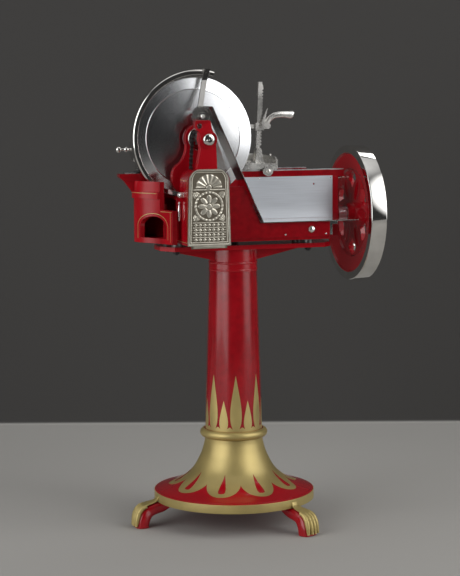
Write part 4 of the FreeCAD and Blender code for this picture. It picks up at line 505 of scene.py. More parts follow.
# ---- finishes ---------------------------------------------------------------------------------
def enamel(name, rgb):
    """Brushed-on stove enamel: slight orange peel, slow change of depth, darker rubbed edges."""
    material, tree, shader = finish_base(name, Roughness=0.16, Coat_Weight=0.22,
                                         Coat_Roughness=0.03, Specular_IOR_Level=0.42)
    grain = placed_group(tree, "grain", Fine=260.0, Slow=5.0)
    wear = placed_group(tree, "wear", Spread=0.56)
    depth = toned(tree, grain["Tone"], 0.35, 0.7, rgb, 0.84, 1.1)
    feed(tree, shader, Base_Color=mixed(tree, wear["Mask"], depth, shade(rgb, 0.45)),
         Roughness=ranged(tree, grain["Tone"], 0.3, 0.75, 0.12, 0.24))
    relief(tree, shader, grain["Height"], 0.05, 0.0006, 0.0012)
    return material


def gilding(name, rgb):
    """Bronze-powder paint: metallic flake, brushed unevenly, dulled where it is touched."""
    material, tree, shader = finish_base(name, Metallic=0.62, Roughness=0.42, Coat_Weight=0.15,
                                         Coat_Roughness=0.25)
    grain = placed_group(tree, "grain", Fine=1800.0, Slow=9.0)
    tone = toned(tree, grain["Tone"], 0.3, 0.72, rgb, 0.80, 1.14)
    flake = ranged(tree, grain["Height"], 0.62, 0.80, 0.0, 0.35)
    feed(tree, shader, Base_Color=mixed(tree, flake, tone, shade(rgb, 1.6)),
         Roughness=ranged(tree, grain["Tone"], 0.3, 0.7, 0.36, 0.50))
    relief(tree, shader, grain["Height"], 0.10, 0.0003)
    return material


def plated(name, rgb, low=0.07, high=0.22, bump=0.03, edge=0.0005):
    """Nickel plate: bright, and slightly clouded by handling."""
    material, tree, shader = finish_base(name, Metallic=1.0)
    grain = placed_group(tree, "grain", Fine=420.0, Slow=22.0)
    feed(tree, shader, Base_Color=toned(tree, grain["Tone"], 0.35, 0.7, rgb, 0.88, 1.06),
         Roughness=ranged(tree, grain["Tone"], 0.3, 0.75, low, high))
    relief(tree, shader, grain["Height"], bump, 0.0004, edge)
    return material


def brushed(name, rgb, stretch, rough=(0.22, 0.36)):
    """Drawn or brushed steel: a noise pulled out along one direction."""
    material, tree, shader = finish_base(name, Metallic=1.0)
    lines = drawn_out(tree, stretch, 4.0)
    feed(tree, shader, Base_Color=toned(tree, lines, 0.3, 0.7, rgb, 0.90, 1.06),
         Roughness=ranged(tree, lines, 0.3, 0.7, *rough))
    relief(tree, shader, lines, 0.06, 0.0002, 0.0004)
    return material


def ground_knife(name, rgb, centre):
    """Knife ground on a wheel: fine rings about its axis and a brighter cutting bevel."""
    material, tree, shader = finish_base(name, Metallic=1.0, Roughness=0.16, Anisotropic=0.75)
    centred = add(tree, "Mapping", Vector=object_place(tree), Location=tuple(-c for c in centre))
    flat = reckon(tree, "VectorMath", {"operation": "MULTIPLY"}, centred.outputs["Vector"],
                  (1, 0, 1))
    radius = reckon(tree, "VectorMath", {"operation": "LENGTH"},
                    flat.outputs["Vector"]).outputs["Value"]
    rings = add(tree, "TexNoise", {"noise_dimensions": "1D"}, W=radius, Scale=900.0,
                Detail=4.0).outputs["Fac"]
    tangent = add(tree, "Tangent", {"direction_type": "RADIAL", "axis": "Y"})
    feed(tree, shader, Base_Color=toned(tree, radius, *BEVEL_STARTS, rgb, 0.86, 1.18),
         Roughness=ranged(tree, rings, 0.3, 0.7, 0.12, 0.24), Tangent=tangent.outputs["Tangent"])
    relief(tree, shader, rings, 0.05, 0.0001)
    return material


def patinated(name, rgb, deep, front, depth):
    """Cast nickel whose hollows are dark: the mask is the depth behind the front face, in Y."""
    material, tree, shader = finish_base(name, Metallic=0.9)
    grain = placed_group(tree, "grain", Fine=1100.0, Slow=60.0)
    hollow = ranged(tree, object_axis(tree, "Y"), front, front + depth)
    worn = toned(tree, grain["Tone"], 0.35, 0.7, rgb, 0.86, 1.08)
    feed(tree, shader, Base_Color=mixed(tree, hollow, worn, deep),
         Roughness=ranged(tree, hollow, 0.0, 1.0, 0.30, 0.62))
    relief(tree, shader, grain["Height"], 0.18, 0.0004)
    return material


def oiled_iron(name, rgb, rubbed):
    """Black iron with an oil film: dark, half gloss, rubbed bright on its edges."""
    material, tree, shader = finish_base(name, Metallic=0.75)
    grain = placed_group(tree, "grain", Fine=700.0, Slow=40.0)
    wear = placed_group(tree, "wear", Spread=0.55, Patches=120.0)
    feed(tree, shader, Base_Color=mixed(tree, wear["Mask"], rgb, rubbed),
         Roughness=ranged(tree, grain["Tone"], 0.3, 0.7, 0.30, 0.50))
    relief(tree, shader, grain["Height"], 0.12, 0.0003, 0.0003)
    return material


def varnished_wood(name, rgb):
    """Turned hardwood under varnish: long grain along X, broken by pores."""
    material, tree, shader = finish_base(name, Roughness=0.3, Coat_Weight=0.5,
                                         Coat_Roughness=0.12)
    fibre = drawn_out(tree, (14.0, 190.0, 190.0), 6.0)
    feed(tree, shader, Base_Color=toned(tree, fibre, 0.35, 0.65, rgb, 0.6, 1.9))
    relief(tree, shader, fibre, 0.12, 0.0003)
    return material


def studio_paper(floor, backdrop):
    """Plain floor that turns into the backdrop's colour as it rises, clear from behind."""
    material, tree, shader = finish_base("studio paper", Roughness=0.85)
    risen = ranged(tree, object_axis(tree, "Z"), 0.0, COVE_R * MM * 0.5)
    feed(tree, shader, Base_Color=mixed(tree, risen, floor, backdrop))
    one_sided = reckon(tree, "MixShader", (), add(tree, "NewGeometry").outputs["Backfacing"],
                       shader.outputs["BSDF"], add(tree, "BsdfTransparent").outputs["BSDF"])
    plug(tree, one_sided.outputs["Shader"], tree.nodes["Material Output"].inputs["Surface"])
    return material


FINISHES = {}
SHEET_RGB = (0.60, 0.63, 0.68)
PLATE_RGB, PLATE_HOLLOW_RGB = (0.72, 0.68, 0.58), (0.15, 0.13, 0.10)
RUBBED_IRON_RGB = (0.30, 0.29, 0.28)


def make_finishes(settings):
    """Every finish once, from the colours of the settings."""
    nickel, steel = tuple(settings.nickel), tuple(settings.steel)
    FINISHES.update({
        "red_enamel": enamel("red enamel", tuple(settings.enamel)),
        "gold_paint": gilding("gold paint", tuple(settings.gilding)),
        "nickel": plated("nickel plate", nickel),
        # Cast fittings: a rougher satin nickel. Its colour is painted 1.16 times lighter than the plate's, painted
        # light that stands in for a brighter lamp on them.
        "cast_fitting_painted_lighter": plated("cast nickel fitting painted lighter", shade(nickel, 1.16), 0.20, 0.34, 0.05, 0.0),
        "mirror": plated("mirror nickel", shade(nickel, 1.04), 0.03, 0.10, 0.01, 0.0),
        "polished_steel": brushed("drawn steel", steel, (25, 600, 600)),
        "splash_sheet": brushed("brushed sheet", SHEET_RGB, (9, 700, 700), (0.34, 0.50)),
        "knife": ground_knife("ground knife", steel, (BLADE_AT + AXIS) * MM),
        "cast_nickel": patinated("patinated plate", PLATE_RGB, PLATE_HOLLOW_RGB,
                                 (PLAQUE_LO[1] + 0.5) * MM, 0.0011),
        "dark_iron": oiled_iron("oiled iron", tuple(settings.iron), RUBBED_IRON_RGB),
        "bronze": plated("turned bronze", tuple(settings.bronze), 0.20, 0.34),
        "grip_wood": varnished_wood("varnished grip", tuple(settings.grip)),
    })


# Nickel castings that take the fitting finish. Its colour is painted lighter, as painted light.
CAST_FITTINGS = ("meat_table", "table_cam", "rack_post", "clamp_sleeve", "clamp_shoe",
                 "clamp_pawl", "post_foot", "carriage", "guard_clamp", "strut_stud")
NODE_FINISH = {**dict.fromkeys(CAST_FITTINGS, "cast_fitting_painted_lighter"), "splash_plate": "splash_sheet",
               "guard_strut": "mirror"}


def dress_nodes():
    """Each CAD node shown takes the finish of its slot, or its own from NODE_FINISH."""
    slots = {s["node"]: s["material_slot"] for s in frame["record"]["subparts"]}
    for name, node in frame["nodes"].items():
        node.data.materials.clear()
        node.data.materials.append(FINISHES[NODE_FINISH.get(name, slots[name])])


# ---- pedestal ---------------------------------------------------------------------------------
def flare_line(samples=40, inset=0.0, drop=0.0):
    """Section of the dish and bell, from the rim inwards: radius and height."""
    reach = RIM_R - RIM_IN - BELL_R
    rise = BELL_TOP - RIM_TOP - RIM_UP
    points = [(BELL_R + reach * a - inset, RIM_TOP + RIM_UP + rise * b - drop) for a, b in FLARE]
    return smooth_line(points, samples)


def bead_arc(radius, angles):
    """Arc about the middle of the bell's bead: radius and height."""
    return np.stack([BEAD_AT + radius * np.cos(angles),
                     BELL_TOP + BEAD_R + radius * np.sin(angles)], -1)


def pedestal_foot():
    """Dish, bell and bead, hollow below, turned from one closed section, and the bell's web."""
    wall, neck = RIM_R - RIM_WALL, BELL_R - BELL_WALL
    rim = eased([(wall, RIM_FOOT), (RIM_R, RIM_FOOT), (RIM_R, RIM_TOP),
                 (RIM_R - RIM_IN, RIM_TOP + RIM_UP)], 2.5)
    first_corner = 5
    section = np.concatenate([rim[first_corner:], flare_line(),
                              bead_arc(BEAD_R, np.linspace(-1.35, 1.35, 25)),
                              [(neck, BASE_HI[2]), (neck, BELL_TOP - BELL_DROP)],
                              flare_line(24, BELL_WALL, BELL_DROP)[::-1], [(wall, RIM_FOOT)]])
    web_low, web_r = BELL_TOP - WEB_DOWN, BELL_R - 6
    web_high = web_low + WEB_THICK
    web = eased([(TIE_HOLE, web_low), (web_r, web_low), (web_r, web_high), (TIE_HOLE, web_high)],
                1.0)
    build("pedestal_foot", [upright(section, 192), upright(web, 64)], "red_enamel",
          replaces=["pedestal_base"])


def skirt_edge(angle, lobes):
    """Lower edge of the gilding as a share of the flare: round scallops that meet in points."""
    return 0.31 - 0.19 * np.abs(np.cos(lobes * angle / 2)) ** 0.75


def on_flare(angle, share, proud):
    """Point of the dish at an angle and a share from rim to bell, moved out along its normal."""
    line = flare_line(200)
    slope = unit(np.gradient(line, axis=0))
    k = np.clip(share, 0, 1) * (len(line) - 1)
    steps = np.arange(len(line))
    r, z, dr, dz = (np.interp(k, steps, v) for v in (*line.T, *slope.T))
    return around(r + dz * proud, angle, z - dr * proud)


def flare_skin(angle, share, outer, inner):
    """Thin closed skin on the dish, from one distance along its normal to another."""
    return shell(on_flare(angle, share, outer), on_flare(angle, share, inner))


def gilded_skirt(lobes):
    """Gold coat of the bell: a thin skin over the flare from its scalloped edge to the bead."""
    angle = np.linspace(0, FULL_TURN, 721)[:, None]
    edge = skirt_edge(angle, lobes)
    share = edge + (1 - edge) * np.linspace(0, 1, 48)[None, :]
    angle = np.broadcast_to(angle, share.shape)
    build("gilded_skirt", [flare_skin(angle, share, 0.35, -0.3)], "gold_paint")


def gilded_bands():
    """Gold on the rim's edge and on the half-round bead, each a thin turned skin."""
    rim_in, rim_out = RIM_R - 2, RIM_R + 0.3
    rim = eased([(rim_in, RIM_FOOT - 0.15), (rim_out, RIM_FOOT - 0.15), (rim_out, RIM_TOP + 0.1),
                 (rim_in, RIM_TOP + 0.3)], 1.6)
    angles = np.linspace(-1.52, 1.52, 37)
    bead = np.concatenate([bead_arc(BEAD_R + 0.3, angles), bead_arc(BEAD_R - 0.6, angles[::-1])])
    build("gilded_rim", [upright(rim, 192)], "gold_paint")
    build("gilded_bead", [upright(bead, 128)], "gold_paint")


def red_drops(lobes):
    """A red teardrop in the middle of each scallop, round below and pointed above."""
    v = np.linspace(0, 1, 40)[:, None]
    u = np.linspace(-1, 1, 9)[None, :]
    half = 0.072 * np.sqrt(np.sin(np.pi * v ** 0.55)) * (1 - v) ** 0.45
    share = 0.185 + 0.25 * v + 0 * u
    build("red_drops", [flare_skin(FULL_TURN * k / lobes + half * u, share, 0.6, 0.1)
                        for k in range(lobes)], "red_enamel")


def column_radius(z):
    foot = COLUMN_HI[0]
    return foot + (COLUMN_TOP_R - foot) * (z - COLUMN_LO[2]) / (COLUMN_HI[2] - COLUMN_LO[2])


def column():
    """Tapered hollow column, turned."""
    low, high = COLUMN_LO[2], COLUMN_HI[2]
    section = [(column_radius(z) - wall, z) for z, wall in (
        (low, 0), (high, 0), (high, COLUMN_WALL), (low, COLUMN_WALL))]
    build("column", [upright(section, 160)], "red_enamel", replaces=["pedestal_column"])


def collar():
    """Collar with two half-round beads."""
    low, high = COLLAR_LO[2], COLLAR_HI[2]
    t = np.linspace(-1.4, 1.4, 11)
    beads = [np.stack([COLLAR_R + 1.5 * np.cos(t) - 0.4, z + 2.6 * np.sin(t)], -1)
             for z in (low + 5, high - 3.5)]
    section = np.concatenate([[(COLLAR_HOLE, low), (COLLAR_R, low)], *beads,
                              [(COLLAR_R, high), (COLLAR_HOLE, high)]])
    build("collar", [upright(section, 160)], "red_enamel", replaces=["column_collar"])


def column_skin(angle, z, proud):
    """Thin closed skin that stands proud of the column and is sunk into it a little."""
    r = column_radius(z)
    return shell(around(r + proud, angle, z), around(r - 0.3, angle, z))


LEAF_FOOT = COLUMN_LO[2] + 0.2


def leaf(angle, height, half_width, proud):
    """Painted leaf on the column: its half width swells above the foot and ends in a point."""
    v = np.linspace(0, 1, 44)[:, None]
    u = np.linspace(-1, 1, 9)[None, :]
    half = half_width * (np.sin(np.pi * v ** 0.62) ** 0.9 * (1 - 0.35 * v))
    z = LEAF_FOOT + height * v + 0 * u
    return column_skin(angle + half * u / column_radius(z), z, proud)


def gilded_leaves(leaves, tall):
    """Border of plain gold leaves round the foot of the column, tall and short in turn."""
    step = FULL_TURN / leaves
    grids = []
    for k in range(leaves):
        grids.append(leaf(step * k, tall, 19.0, 0.35))
        grids.append(leaf(step * (k + 0.5), tall * 0.55, 15.0, 0.30))
    angle = np.linspace(0, FULL_TURN, 361)[:, None]
    hem = LEAF_FOOT - 0.2 + (11 + 2.5 * np.cos(angle * leaves * 4)) * np.linspace(0, 1, 6)[None, :]
    grids.append(column_skin(angle, hem, 0.24))
    build("gilded_leaves", grids, "gold_paint")


# Lines of a leg, in radius and height, and its half width at a radius.
LEG_TOP = ((190, 71.6), (214, 71.6), (238, 71.0), (258, 66), (277, 57), (291, 43), (299, 23),
           (303, 0.6))
LEG_LOW = ((186, 66), (206, 49), (222, 41), (238, 37), (252, 31), (260, 20), (263, 9),
           (264, 0.6))
LEG_HALF = ((190, 15), (240, 18), (262, 20), (280, 26), (304, 28))
STRIP_LINE = ((235.3, 89), (240, 79), (251, 73.5), (266, 70), (281, 64), (290, 56))
TOE_LINE = ((272, 64), (286, 58), (296.5, 46), (302.5, 31), (306, 17), (309, 6.2))
TOES = (-1.5, -0.5, 0.5, 1.5)


def leg_body():
    """Loft between the leg's two lines: at each step a rounded box, in radius and height."""
    top, low = smooth_line(LEG_TOP, 48), smooth_line(LEG_LOW, 48)
    mid, half = (top + low) / 2, (top - low) / 2
    up, side = rounded_square(np.linspace(0, FULL_TURN, 40, endpoint=False)[None, :], 0.62)
    r, z = (mid[:, k:k + 1] + half[:, k:k + 1] * up for k in (0, 1))
    half_width = np.interp(mid[:, :1], *np.array(LEG_HALF, float).T)
    return capped(np.stack([r, half_width * side, np.maximum(z, 0.0)], -1))


def gold_strip():
    """Strip over the leg's back: it widens to the toes, its upper side a half ellipse."""
    line = smooth_line(STRIP_LINE, 30)
    slope = unit(np.gradient(line, axis=0))
    u = np.linspace(-1, 1, 15)[None, :]
    s = np.linspace(0, 1, 30)[:, None]
    layers = []
    for lift in (2.4 * (1 - u ** 2) ** 0.5 + 0 * s, -2.5 + 0 * u + 0 * s):
        layers.append(np.stack([line[:, :1] - slope[:, 1:] * lift, (12.5 + 12.5 * s ** 1.4) * u,
                                line[:, 1:] + slope[:, :1] * lift], -1))
    return shell(*layers)


def toe(k):
    """Toe: a bar down the front of the paw that thickens at its knuckle and thins to its tip."""
    way = smooth_line(TOE_LINE, 36)
    t = np.linspace(0, 1, 36)
    path = np.stack([way[:, 0] - (abs(k) * 2.6) * t, k * (11.5 + 2.2 * t), way[:, 1]], -1)
    thick = 6.2 + 1.5 * np.sin(np.pi * np.clip(t * 1.25 - 0.1, 0, 1)) - 2.0 * t ** 3
    return tube(path, thick, 18)


def paw(name, angle):
    """Cast leg from under the rim to a paw: S-shaped body, gold strip over it and four toes."""
    gold = [turned_about_axis(grid, angle) for grid in (gold_strip(), *map(toe, TOES))]
    build(name, [turned_about_axis(leg_body(), angle)], "red_enamel",
          replaces=["paw_foot_" + name.split("_")[-1]])
    build(name.replace("leg", "toes"), gold, "gold_paint")


# ---- flywheel and crank -----------------------------------------------------------------------
RING = ((127.5, 16.9), (128.5, 16.7), (133, 10.8), (140, 8.8), (168, 5.9), (176, 4.6),
        (178.2, 1.0), (179.5, 1.0), (179.5, 8), (127.5, 19))
RIM_BAND, RIM_SKIN = 23.0, 0.15
GRIP_LINE = ((0.62, 0.0), (0.80, 0.04), (0.76, 0.12), (0.97, 0.38), (1.0, 0.62), (0.86, 0.88),
             (0.60, 1.0))
GRIP_BORE = 8.06


def wheel_rim():
    """Polished rim: a closed band over the rim's edge and the outer part of both faces."""
    x0, x1 = WHEEL_X
    inner, outer = WHEEL_R - RIM_BAND, WHEEL_R + RIM_SKIN
    face = [(WHEEL_R - 10, -6), (inner, -1.2), (inner + 0.5, RIM_SKIN), (outer, RIM_SKIN)]
    section = eased([(r, x0 - out) for r, out in face] + [(r, x1 + out) for r, out in face[::-1]],
                    3.2, 5)
    build("polished_rim", [turned("x", WHEEL_MIDDLE, section, 256)], "mirror", "nickel",
          body="flywheel")


def wheel_ring():
    """Enamelled ring between the petals and the rim, dished on both faces: radius and depth."""
    grids = [turned("x", WHEEL_MIDDLE, [(r, face + into * depth) for r, depth in RING], 192)
             for face, into in zip(WHEEL_X, (1, -1))]
    build("enamelled_ring", grids, "red_enamel", body="flywheel")


def varnished_grip():
    """Crank's grip, a smooth baluster between its two ends, on its spindle."""
    x0, x1 = GRIP_LO[0], GRIP_HI[0]
    r = (GRIP_HI[2] - GRIP_LO[2]) / 2
    line = smooth_line(GRIP_LINE, 48) * [r, x1 - x0] + [0, x0]
    section = np.concatenate([[(GRIP_BORE, x0)], line, [(GRIP_BORE, x1)]])
    build("varnished_grip", [turned("x", (0, *joint_at("grip_spin")[1:]), section, 64)],
          "grip_wood", body="grip", replaces=["crank_grip"])


# ---- knife, guard and their fittings ----------------------------------------------------------
KNIFE_MIDDLE = (BLADE_AT[0], 0, BLADE_AT[2])
KNIFE_FRONT = ((11, -22), (43, -22), (45, -22), (138.6, -8.2), (140, -8.5), (141.2, -7.8),
               (BLADE_R, 0))
BEVEL_STARTS = (0.1395, 0.1410)
KNIFE_BACK = ((BLADE_R, 0.5), (140, -4.4), (45, -18.4), (11, -18.4))
GUARD_LIP, GUARD_WALL, GUARD_DEPTH, GUARD_TURN = 14.0, 2.4, 27.0, (76, 230)
REAR_RING_Y = -75.0


def knife():
    """Dished knife: hub face, cone and ground bevel, in radius and distance from the edge."""
    edge = BLADE_HI[1] - 0.5
    section = [(r, edge + y) for r, y in KNIFE_FRONT + KNIFE_BACK]
    build("dished_knife", [turned("y", KNIFE_MIDDLE, section, 256)], "knife", "polished_steel",
          body="blade", replaces=["blade"], sharp=np.radians(12))


def guard_ring():
    """Guard channel: an eased section swept about the guard's own centre."""
    y0, y1 = -GUARD_DEPTH, 0.0
    r, lip, t = GUARD_R, GUARD_R - GUARD_LIP, GUARD_WALL
    section = eased([(lip, y0), (r - 3, y0), (r, y0 + 3), (r, y1 - 2), (r - 2, y1), (r - 9, y1),
                     (r - 9, y1 - t * 0.8), (r - t - 1, y1 - t * 0.8), (r - t, y1 - t - 1),
                     (r - t, y0 + t + 1), (r - t - 1, y0 + t), (lip, y0 + t)], 1.6)
    angle = np.radians(np.linspace(*GUARD_TURN, 180))[:, None]
    x, z = (centre + section[None, :, 0] * wave for centre, wave in zip(
        GUARD_CENTRE, (np.cos(angle), np.sin(angle))))
    y = np.broadcast_to(section[None, :, 1], x.shape)
    build("guard_ring", [capped(np.stack([x, y, z], -1))], "mirror", "nickel",
          replaces=["blade_guard"])


def bearing_fittings():
    """Domed cap with two small screws, and the bright ring of the rear bearing."""
    y = CAP_HI[1]
    r = (CAP_HI[2] - CAP_LO[2]) / 2
    cap = eased([(0, y), (r, y), (r, y - 4), (r * 0.86, y - 7), (r * 0.5, y - 9), (0, y - 9)], 1.6)
    screw = eased([(0, y - 7), (2.6, y - 7), (2.6, y - 9.2), (1.4, y - 9.9), (0, y - 9.9)], 0.5)
    screws = [turned("y", (BLADE_AT[0] + 7.5 * k, 0, BLADE_AT[2] + 2.5 * k), screw, 20)
              for k in (-1, 1)]
    build("bearing_dome", [turned("y", KNIFE_MIDDLE, cap, 64), *screws], "nickel",
          replaces=["bearing_cap"])
    ring = eased([(r, REAR_RING_Y + y) for r, y in ((27, 1), (27, -3.2), (33, -3.2), (35, 1))],
                 1.2)
    build("rear_bearing_ring", [turned("y", KNIFE_MIDDLE, ring, 96)], "mirror", "nickel")


# ---- front plate ------------------------------------------------------------------------------
PLATE_TOP, PLATE_HEIGHT = PLAQUE_HI[2], 214.0
PLATE_FOOT = PLATE_TOP - PLATE_HEIGHT
PLATE_HALF_FOOT, PLATE_HALF_TOP, SHOULDER_R = 63.0, 58.0, 34.0
APRON_HALF, APRON_HEIGHT, APRON_THICK = 52.5, 11.0, 3.0
HOOP_R = 39.0
LEAVES = ((0.30, 20), (0.78, 25), (1.26, 20))
LOZENGE_ROWS = (0.078, 0.142, 0.206, 0.270)
LOZENGE_PITCH = 13.0


def plate_half_width(z):
    """Half width of the plate at a height: a slight taper under round shoulders."""
    shoulder = PLATE_TOP - SHOULDER_R
    share = (z - PLATE_FOOT) / (shoulder - PLATE_FOOT)
    side = PLATE_HALF_FOOT + (PLATE_HALF_TOP - PLATE_HALF_FOOT) * np.clip(share, 0, 1)
    rise = np.clip(z - shoulder, 0, SHOULDER_R)
    return side - SHOULDER_R + np.sqrt(np.maximum(SHOULDER_R * SHOULDER_R - rise * rise, 0))


def rosette_and_hoop(x, up, petals):
    """Petals that swell with the cosine round a button, in a hoop with studs on it."""
    r, phi = np.hypot(x, up), np.arctan2(up, x)
    petal = np.abs(np.cos(petals * phi / 2))
    button = soft_off(r, 6.5, 8.5)
    rosette = soft(14 + 19 * petal ** 0.7 - r, 0, 2.2) * (0.55 + 0.45 * petal)
    rosette = np.minimum(np.maximum(rosette, button), np.maximum(soft(r, 9.3, 10.7), button))
    hoop = soft_off(np.abs(r - HOOP_R), 2.2, 3.4)
    studs = soft_off(np.abs(r - HOOP_R), 2.0, 3.0) * soft(np.cos(24 * phi), -0.2, 0.5)
    return np.maximum(rosette, np.where(r > 36, 0.55 * hoop + 0.45 * studs, hoop))


def corner_leaves(x, up):
    """Three ribbed leaves in each corner about the hoop, by their lean and their reach."""
    relief_on = np.zeros_like(x)
    for side in (-1, 1):
        for upper in (-1, 1):
            dx, dz = side * x - 45.5, upper * up - 40.0
            for lean, reach in LEAVES:
                c, s = np.cos(lean + np.pi), np.sin(lean + np.pi)
                along, aside = dx * c + dz * s, np.abs(-dx * s + dz * c)
                half_leaf = 3.6 * np.sin(np.pi * np.clip(along / reach, 0, 1)) ** 0.7
                blade = soft(half_leaf - aside, 0, 0.9) * soft(aside, 0.2, 0.8)
                relief_on = np.maximum(relief_on, blade)
    return relief_on * (np.hypot(x, up) > HOOP_R + 5)


def fan(x, up):
    """Fluted half fan over a button and a bar."""
    r, phi = np.hypot(x, up), np.arctan2(up, x)
    flutes = soft(39 - r, 0, 2.5) * soft(r, 10, 12) * (0.25 + 0.75 * np.cos(7 * phi) ** 2)
    flutes = np.where(up > 0, flutes, 0) * soft(up, 0, 1.5)
    button = soft_off(np.hypot(x, up - 2), 6.5, 8.0)
    bar = soft_off(np.abs(up + 5), 1.2, 2.2) * (np.abs(x) < 46)
    return np.maximum.reduce([flutes, button, bar])


def lozenge_row(x, up):
    """Row of lozenges between two bars."""
    dx = (x + LOZENGE_PITCH / 2) % LOZENGE_PITCH - LOZENGE_PITCH / 2
    lozenge = soft(1 - np.abs(dx) / 6.0 - np.abs(up) / 5.6, 0.0, 0.25)
    bar = soft_off(np.abs(np.abs(up) - 6.9), 0.7, 1.4)
    return np.maximum(lozenge, bar * 0.7) * (np.abs(x) < 48)


def plate_relief(x, z, half, petals):
    """Relief from 0 to 1: a rim, a line inside it, and the ornament inside that."""
    def above(share):
        return z - (PLATE_FOOT + share * PLATE_HEIGHT)

    margin = np.minimum(np.minimum(half - np.abs(x), z - PLATE_FOOT), PLATE_TOP - z)
    rim = soft_off(margin, 4.6, 6.0)
    line = soft(margin, 7.6, 8.6) * soft_off(margin, 9.8, 10.8) * 0.7
    ornament = np.maximum.reduce([
        rosette_and_hoop(x, above(0.515), petals), corner_leaves(x, above(0.515)),
        fan(x, above(0.755)), *(lozenge_row(x, above(share)) for share in LOZENGE_ROWS)])
    return np.maximum.reduce([rim, line, ornament * soft(margin, 9.8, 10.8)])


def cast_plate(relief_height, petals):
    """Front plate as a height field over its round-shouldered outline, and the apron below."""
    shoulder = PLATE_TOP - SHOULDER_R
    centre = (PLAQUE_LO[0] + PLAQUE_HI[0]) / 2
    z = np.concatenate([np.linspace(PLATE_FOOT, shoulder, 215)[:-1],
                        shoulder + SHOULDER_R * np.sin(np.linspace(0, np.pi / 2, 26))])
    z[-1] = PLATE_TOP - 0.02
    half = plate_half_width(z[:, None])
    sweep = np.pi / 2 * 0.96
    x = half * np.sin(np.linspace(-sweep, sweep, 175))[None, :] / np.sin(sweep)
    z = z[:, None] + 0 * x
    y = PLAQUE_LO[1] + 1.7 - relief_height * plate_relief(x, z, half, petals)
    front, back = (np.stack([centre + x, depth, z], -1)
                   for depth in (y, np.full_like(x, PLAQUE_HI[1])))
    apron = box_bar((centre - APRON_HALF, PLAQUE_HI[1] - APRON_THICK, PLAQUE_LO[2]),
                    (centre + APRON_HALF, PLAQUE_HI[1], PLAQUE_LO[2] + APRON_HEIGHT), 1.0)
    build("cast_plate", [shell(front, back), apron], "cast_nickel", replaces=["plaque"],
          sharp=np.radians(60))


# ---- clamp lever, dial and handles ------------------------------------------------------------
LEVER_TOP = ((-9, 6), (-4.5, 19), (12, 35), (29, 41.5), (58, 44.5), (87, 46))
LEVER_LOW = ((-3, -9), (6, 3), (13, 14), (26.5, 23), (51, 26), (74, 23.5), (82, 31))
LEVER_HALF, LEVER_BORE, BOSS_R = 6.0, 4.06, 8.5
DIAL_DOME = ((0.01, -6), (0.30, -5.6), (0.62, -3.8), (0.86, -0.8), (0.97, 2.2))
DIAL_STEM = ((3.0, -40), (3.4, -30), (4.2, -25), (7.0, -21), (7.0, -16), (4.0, -11), (4.6, -5))
DIAL_FACE, DIAL_MARKS, BALL_R = 50.0, 24, 9.0
DROP = ((0.01, -50), (3.8, -48.6), (5.4, -40), (5.2, -30), (3.6, -16), (2.6, -8), (2.4, -5))
POINT = 0.01


def hand_lever():
    """Cast lever: an oval section between its upper and lower outlines, leaning with the post."""
    px, py, pz = joint_at("lever_lock")
    samples = 60
    top, low = smooth_line(LEVER_TOP, samples), smooth_line(LEVER_LOW, samples)
    s = np.linspace(0, 1, samples)
    close = np.sqrt(np.clip(1 - (2 * s - 1) ** 14, 0.0, 1))
    mid, half = (top + low) / 2, (top - low) / 2 * close[:, None]
    up, side = rounded_square(np.linspace(0, FULL_TURN, 28, endpoint=False), 0.8)
    dx, dz = (mid[:, None, k] + half[:, None, k] * up for k in (0, 1))
    width = LEVER_HALF * (0.82 + 0.18 * s) * np.maximum(close, 0.25)
    y = py + width[:, None] * side
    c, n = np.cos(POST_LEAN), np.sin(POST_LEAN)
    lever = capped(np.stack([px + dx * c + dz * n, y, pz - dx * n + dz * c], -1))
    front, back = py - LEVER_HALF, py + LEVER_HALF
    boss = eased([(LEVER_BORE, front), (BOSS_R, front), (BOSS_R, back), (LEVER_BORE, back)], 1.0)
    build("hand_lever", [lever, turned("y", (px, 0, pz), boss, 40)], "cast_fitting_painted_lighter", "nickel",
          body="lever", replaces=["clamp_lever"])


def thickness_dial():
    """Domed dial with raised graduations, its spindle, waisted stem and ball."""
    x = DIAL_LO[0] + DIAL_FACE
    centre = (0, *joint_at("thickness_set")[1:])
    r = (DIAL_HI[2] - DIAL_LO[2]) / 2
    dome = smooth_line(DIAL_DOME, 24) * [r, 1] + [0, x]
    disc = np.concatenate([dome, [(r, x + 3.4), (r, x + 8), (r - 1, x + 9), (6, x + 9),
                                  (6, x + 33), (POINT, x + 33)]])
    stem = np.concatenate([[(POINT, x - 42)], smooth_line(DIAL_STEM, 40) + [0, x],
                           [(POINT, x - 4)]])
    t = np.linspace(-np.pi / 2, np.pi / 2, 24)
    ball = np.stack([np.maximum(BALL_R * np.cos(t), POINT), x - 41 + BALL_R * np.sin(t)], -1)
    build("graduated_dial", [turned("x", centre, profile, steps) for profile, steps in (
        (disc, 96), (stem, 40), (ball, 40))], "nickel", body="dial", replaces=["thickness_dial"])
    marks = []
    for k in range(DIAL_MARKS):
        angle = FULL_TURN * k / DIAL_MARKS
        reach = np.array([r - 1.2 - (5.0 if k % 4 else 8.0), r - 1.2])
        path = np.stack([np.interp(reach, *dome.T) - 0.15, centre[1] + reach * np.cos(angle),
                         centre[2] + reach * np.sin(angle)], -1)
        marks.append(tube(path, 0.45, 6))
    build("dial_marks", marks, "dark_iron", body="dial")


def drop_handle():
    """Hanging drop handle, turned, with a ring eye at its top."""
    x, y, z = joint_at("handle_swing")
    drop = np.concatenate([smooth_line(DROP, 40) + [0, z], [(POINT, z - 4)]])
    t = np.linspace(0, FULL_TURN, 16, endpoint=False)
    eye = np.stack([3.8 + 1.25 * np.cos(t), x + 2.3 * np.sin(t)], -1)
    build("drop_handle", [turned("z", (x, y, 0), drop, 32), turned("x", (0, y, z), eye, 32)],
          "cast_fitting_painted_lighter", "nickel", body="handle", replaces=["box_handle"])


